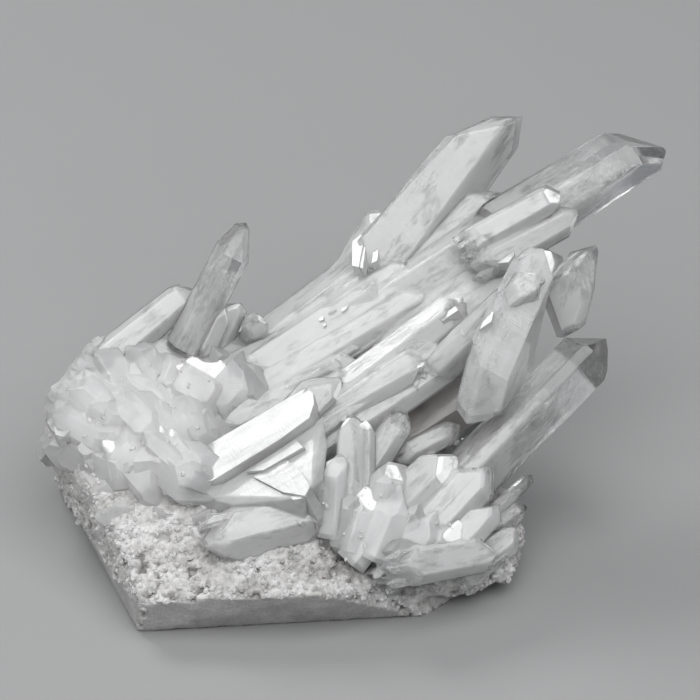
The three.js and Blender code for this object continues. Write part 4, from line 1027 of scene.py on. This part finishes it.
mass = applied(core_obj, [
    ("REMESH", {"mode": "VOXEL", "voxel_size": 0.0010}),
    ("DISPLACE", {"strength": 0.0016, "mid_level": 0.0}),
    ("REMESH", {"mode": "VOXEL", "voxel_size": 0.0010}),
    ("DISPLACE", {"strength": -0.0016, "mid_level": 0.0}),
    ("REMESH", {"mode": "VOXEL", "voxel_size": 0.0010}),
    ("SMOOTH", {"factor": 0.5, "iterations": 1}),
])
mc, mn = coords(mass), coords(mass, "normal")
ml = mc / MM + CENTRE
for i in range(len(mc)):
    q = Vector(ml[i])
    d = noise.noise(q * 0.1) * 0.5 + noise.noise(q * 0.5) * 0.12
    mc[i] += mn[i] * d * MM
mc[:, 2] = np.maximum(mc[:, 2], 0.0012)
mass.vertices.foreach_set("co", mc.ravel())
FRONT_HEARTS = []
skin = Skin()
rough = Builder()
rough.add(*hull(swell), flat_fr)
rough = applied(rough.object("hull_work", DRUSE), [("REMESH", {"mode": "VOXEL", "voxel_size": 0.0018}), ("DECIMATE", {"ratio": 0.5})])
rv, rn = coords(rough) / MM + CENTRE, coords(rough, "normal")
for i in range(len(rv)):
    q = Vector(rv[i])
    rv[i] += rn[i] * (noise.noise(q * 0.22) * 1.1 + noise.noise(q * 0.55) * 0.8)
skin.add(rv, [list(pl.vertices) for pl in rough.polygons], flat_fr)
smooth_hull = Skin()
smooth_hull.add(*hull(swell), flat_fr)
skin.parts[0] = skin.parts[0][:4] + smooth_hull.parts[0][4:]
for row in rows["matrix"]:
    shell(skin, row, rng, 0.35)
    for sat in satellites(row, 2, rng, spread=1.0, size=(0.35, 0.7), reach=(0.75, 1.0), lean=12):
        shell(skin, sat, rng, 0.25)
# low crystals all over the smooth upper part of the block, mostly sunk in it
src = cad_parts["matrix"].data
tris = []
for pl in src.polygons:
    q = [np.array(src.vertices[i].co) / MM + CENTRE for i in pl.vertices]
    for k in range(1, len(q) - 1):
        n_ = np.cross(q[k] - q[0], q[k + 1] - q[0])
        if np.linalg.norm(n_) > 1e-6 and (q[0] + q[k] + q[k + 1])[2] / 3 > 14:
            tris.append((q[0], q[k], q[k + 1], n_))
areas = [np.linalg.norm(t[3]) for t in tris]
placed = []
for t in rng.choices(tris, weights=areas, k=1500):
    r1, r2 = sorted((rng.random(), rng.random()))
    at_ = t[0] * r1 + t[1] * (r2 - r1) + t[2] * (1 - r2)
    m_ = unit(t[3])
    if at_[2] < 21 + 6 * rng.random() or (at_[2] < 27 and at_[0] > 8 and at_[1] < 40) or m_[2] < -0.3:
        continue
    w = rng.uniform(2.0, 5.6)
    if any(np.linalg.norm(at_ - c) < 0.6 * (w + w2) for c, w2 in placed) or len(placed) > 95:
        continue
    placed.append((at_, w))
    tangent = np.array([rng.gauss(0, 1), rng.gauss(0, 1), rng.gauss(0, 1)]) + np.array([-0.6, 0.2, 0.9])
    tangent = unit(tangent - m_ * tangent.dot(m_))
    lean = math.radians(rng.uniform(10, 42))
    d = m_ * math.cos(lean) + tangent * math.sin(lean)
    proud = rng.uniform(0.08, 0.28) * w
    shell(skin, ["low", "matrix", list(at_ - d * (8 + proud)), list(at_ + d * proud), rng.uniform(0, 60), rng.uniform(0, 2),
                 [w * rng.uniform(0.8, 1.25) for _ in range(6)], [w * rng.uniform(-0.3, 1.0) for _ in range(6)], None, 0], rng, 0.2)
# the smooth milky body that fills the front between the larger crystals: root, tip, half width
FRONT_BODY = [
    [[53.5, 8.0, 20.4], [58.2, 16.5, 33.5], 5.6], [[59.5, 7.5, 18.5], [66.0, 15.0, 31.7], 6.6],
    [[66.5, 6.5, 18.5], [74.5, 13.0, 30.0], 6.6], [[71.5, 7.0, 16.0], [82.0, 11.5, 26.5], 5.8],
    [[49.0, 11.5, 22.4], [50.0, 20.0, 41.0], 4.2], [[60.2, 12.0, 24.0], [63.7, 22.0, 38.0], 5.0],
    [[54.0, 6.0, 18.5], [60.5, 9.5, 25.5], 4.6], [[62.5, 4.5, 17.0], [69.5, 7.0, 23.0], 4.6],
]
for root, tip, w in FRONT_BODY:
    row = ["body", "matrix", root, tip, rng.uniform(0, 60), rng.uniform(1.0, 3.0), [w * rng.uniform(0.8, 1.15) for _ in range(6)],
           [w * rng.uniform(-0.3, 0.8) for _ in range(6)], None, 1]
    shell(skin, row, rng, 0.3)
    for sat in satellites(row, 2, rng, spread=0.9, size=(0.3, 0.6), reach=(0.5, 0.9), lean=9):
        shell(skin, sat, rng, 0.2)
    FRONT_HEARTS.append(row)
skin_obj = skin.object("druse_skin", DRUSE)
skin = skin_obj.data
finish_piece(skin_obj, ())
veil = Builder()
for row in FRONT_HEARTS:
    haze(veil, row, rng, ((0.9, 0.94), (0.66, 0.9)))
finish_piece(veil.object("druse_haze", HEAVY_HAZE), ())
# the milky heart of the same mass, a little under its skin
for i in range(len(mc)):
    q = Vector(ml[i])
    d = 2.9 + noise.noise(q * 0.22 + Vector((9, 4, 1))) * 1.0 + noise.noise(q * 0.6) * 0.5
    mc[i] -= mn[i] * max(2.0, d) * MM
mass.vertices.foreach_set("co", mc.ravel())
o = bpy.data.objects.new("heart_work", mass)
bpy.context.scene.collection.objects.link(o)
heart = applied(o, [("REMESH", {"mode": "VOXEL", "voxel_size": 0.0012}), ("SMOOTH", {"factor": 0.5, "iterations": 2}), ("DECIMATE", {"ratio": 0.4})])
heart_obj = as_object(heart, "druse_heart", HEART)
heart.polygons.foreach_set("use_smooth", np.ones(len(heart.polygons), bool))
finish_piece(heart_obj, ())
print("mass", len(skin.polygons), len(heart.polygons), "faces")


# grains: small stubby crystals scattered over the crust
def grain(size, rng):
    """A small stubby crystal about the origin, pointing along +Z, as corners and polygons."""
    fr = (np.zeros(3), np.array([0.0, 0, 1]), np.array([1.0, 0, 0]), np.array([0.0, 1, 0]), size * rng.uniform(0.7, 1.3))
    ns, ds = crystal_planes(
        fr, rng.uniform(0, 60), rng.uniform(0, 6), [size * rng.uniform(0.6, 1.0) for _ in range(6)],
        [size * rng.uniform(-0.2, 0.5) for _ in range(6)], None, size * 0.6)
    return polyhedron(ns, ds, weld=size * 0.08)


LIBRARY = [p for p in (grain(1.0, rng) for _ in range(40)) if p is not None]


class Grains:
    def __init__(self):
        self.v, self.f, self.n, self.tris = [], [], 0, 0

    def add(self, at, out, size, rng):
        v, f = LIBRARY[rng.randrange(len(LIBRARY))]
        z = unit(np.array(out) + np.array([rng.gauss(0, 0.45) for _ in range(3)]))
        x = unit(np.cross(z, [rng.gauss(0, 1), rng.gauss(0, 1), rng.gauss(0, 1)]))
        y = np.cross(z, x)
        s = size * np.array([rng.uniform(0.85, 1.25), rng.uniform(0.85, 1.25), rng.uniform(0.6, 1.1)])
        w = (v * s) @ np.array([x, y, z]) + at
        if w[:, 2].min() < 0.05:
            return
        self.v.append(w)
        self.f += [[i + self.n for i in q] for q in f]
        self.n += len(v)
        self.tris += sum(len(q) - 2 for q in f)

    def object(self, name, mat):
        me = bpy.data.meshes.new(name)
        me.from_pydata(((np.concatenate(self.v) - CENTRE) * MM).tolist(), [], self.f)
        at = me.attributes.new("pit_shade", "FLOAT", "POINT")
        me.materials.append(mat)
        o = bpy.data.objects.new(name, me)
        bpy.context.scene.collection.objects.link(o)
        print(name, self.tris, "triangles")
        return o


grains = Grains()
order = list(range(len(me.vertices)))
rng.shuffle(order)
count = 0
for i in order:
    if sawn[i] or count > 5200:
        continue
    p, m_ = new[i], no[i]
    low = min(1.0, max(0.0, (34 - p[2]) / 10))
    if rng.random() > low or pit_shade[i] > 0.6:
        continue
    grains.add(p - m_ * 0.3, m_, rng.uniform(0.4, 1.1), rng)
    count += 1
finish_piece(grains.object("crust_grains", CRUST), ())
sparks = Grains()
polys = [pl for pl in skin.polygons if pl.center[2] > 0.020 and pl.area > 5e-7]
for pl in rng.choices(polys, weights=[pl.area for pl in polys], k=240):
    corner = [np.array(skin.vertices[i].co) for i in pl.vertices]
    weights = np.array([rng.random() ** 2 + 0.02 for _ in corner])
    q = (np.array(corner) * weights[:, None]).sum(0) / weights.sum()
    sparks.add(q / MM + CENTRE, np.array(pl.normal), rng.uniform(0.3, 0.75), rng)
finish_piece(sparks.object("druse_grains", FACET), ())

# ---- floor, light and camera ------------------------------------------------------------------------------
bm = bmesh.new()
bmesh.ops.create_grid(bm, x_segments=2, y_segments=2, size=3.0)
fm = bpy.data.meshes.new("floor")
bm.to_mesh(fm)
bm.free()
fm.materials.append(floor_material())
floor = bpy.data.objects.new("floor", fm)
bpy.context.scene.collection.objects.link(floor)


def softbox(name, azimuth, elevation, distance, width, height, radiance):
    az, el = math.radians(azimuth), math.radians(elevation)
    d = Vector((math.cos(el) * math.cos(az), math.cos(el) * math.sin(az), math.sin(el)))
    l = bpy.data.lights.new(name, "AREA")
    l.shape = "RECTANGLE"
    l.size, l.size_y = width, height
    l.energy = radiance * 4 * width * height
    o = bpy.data.objects.new(name, l)
    o.location = d * distance + Vector((0, 0, 0.04))
    o.rotation_euler = (-d).to_track_quat("-Z", "Y").to_euler()
    bpy.context.scene.collection.objects.link(o)
    return o


softbox("key", 134, 47, 1.2, 0.46, 0.46, 7.0)
softbox("overhead", -75, 62, 1.5, 1.9, 1.4, 2.3)
softbox("fill", -150, 28, 1.6, 1.0, 0.8, 1.3)
world = bpy.data.worlds.new("world")
bpy.context.scene.world = world
world.use_nodes = True
world.node_tree.nodes["Background"].inputs["Color"].default_value = (0.9, 0.95, 1.0, 1)
world.node_tree.nodes["Background"].inputs["Strength"].default_value = 0.22

cam = bpy.data.cameras.new("camera")
cam.sensor_width = 36.0
cam.lens = 36.0 * 3600.0 / 700.0
cam.clip_start, cam.clip_end = 0.05, 20
co_ = bpy.data.objects.new("camera", cam)
co_.location = (-0.00168, -0.768553, 0.5513765)
co_.rotation_euler = (math.radians(57), 0, 0)
bpy.context.scene.collection.objects.link(co_)
bpy.context.scene.camera = co_
bpy.context.scene.view_settings.view_transform = "Standard"
bpy.context.scene.cycles.max_bounces = 9
bpy.context.scene.cycles.diffuse_bounces = 4
bpy.context.scene.cycles.transmission_bounces = 7
bpy.context.scene.cycles.transparent_max_bounces = 12
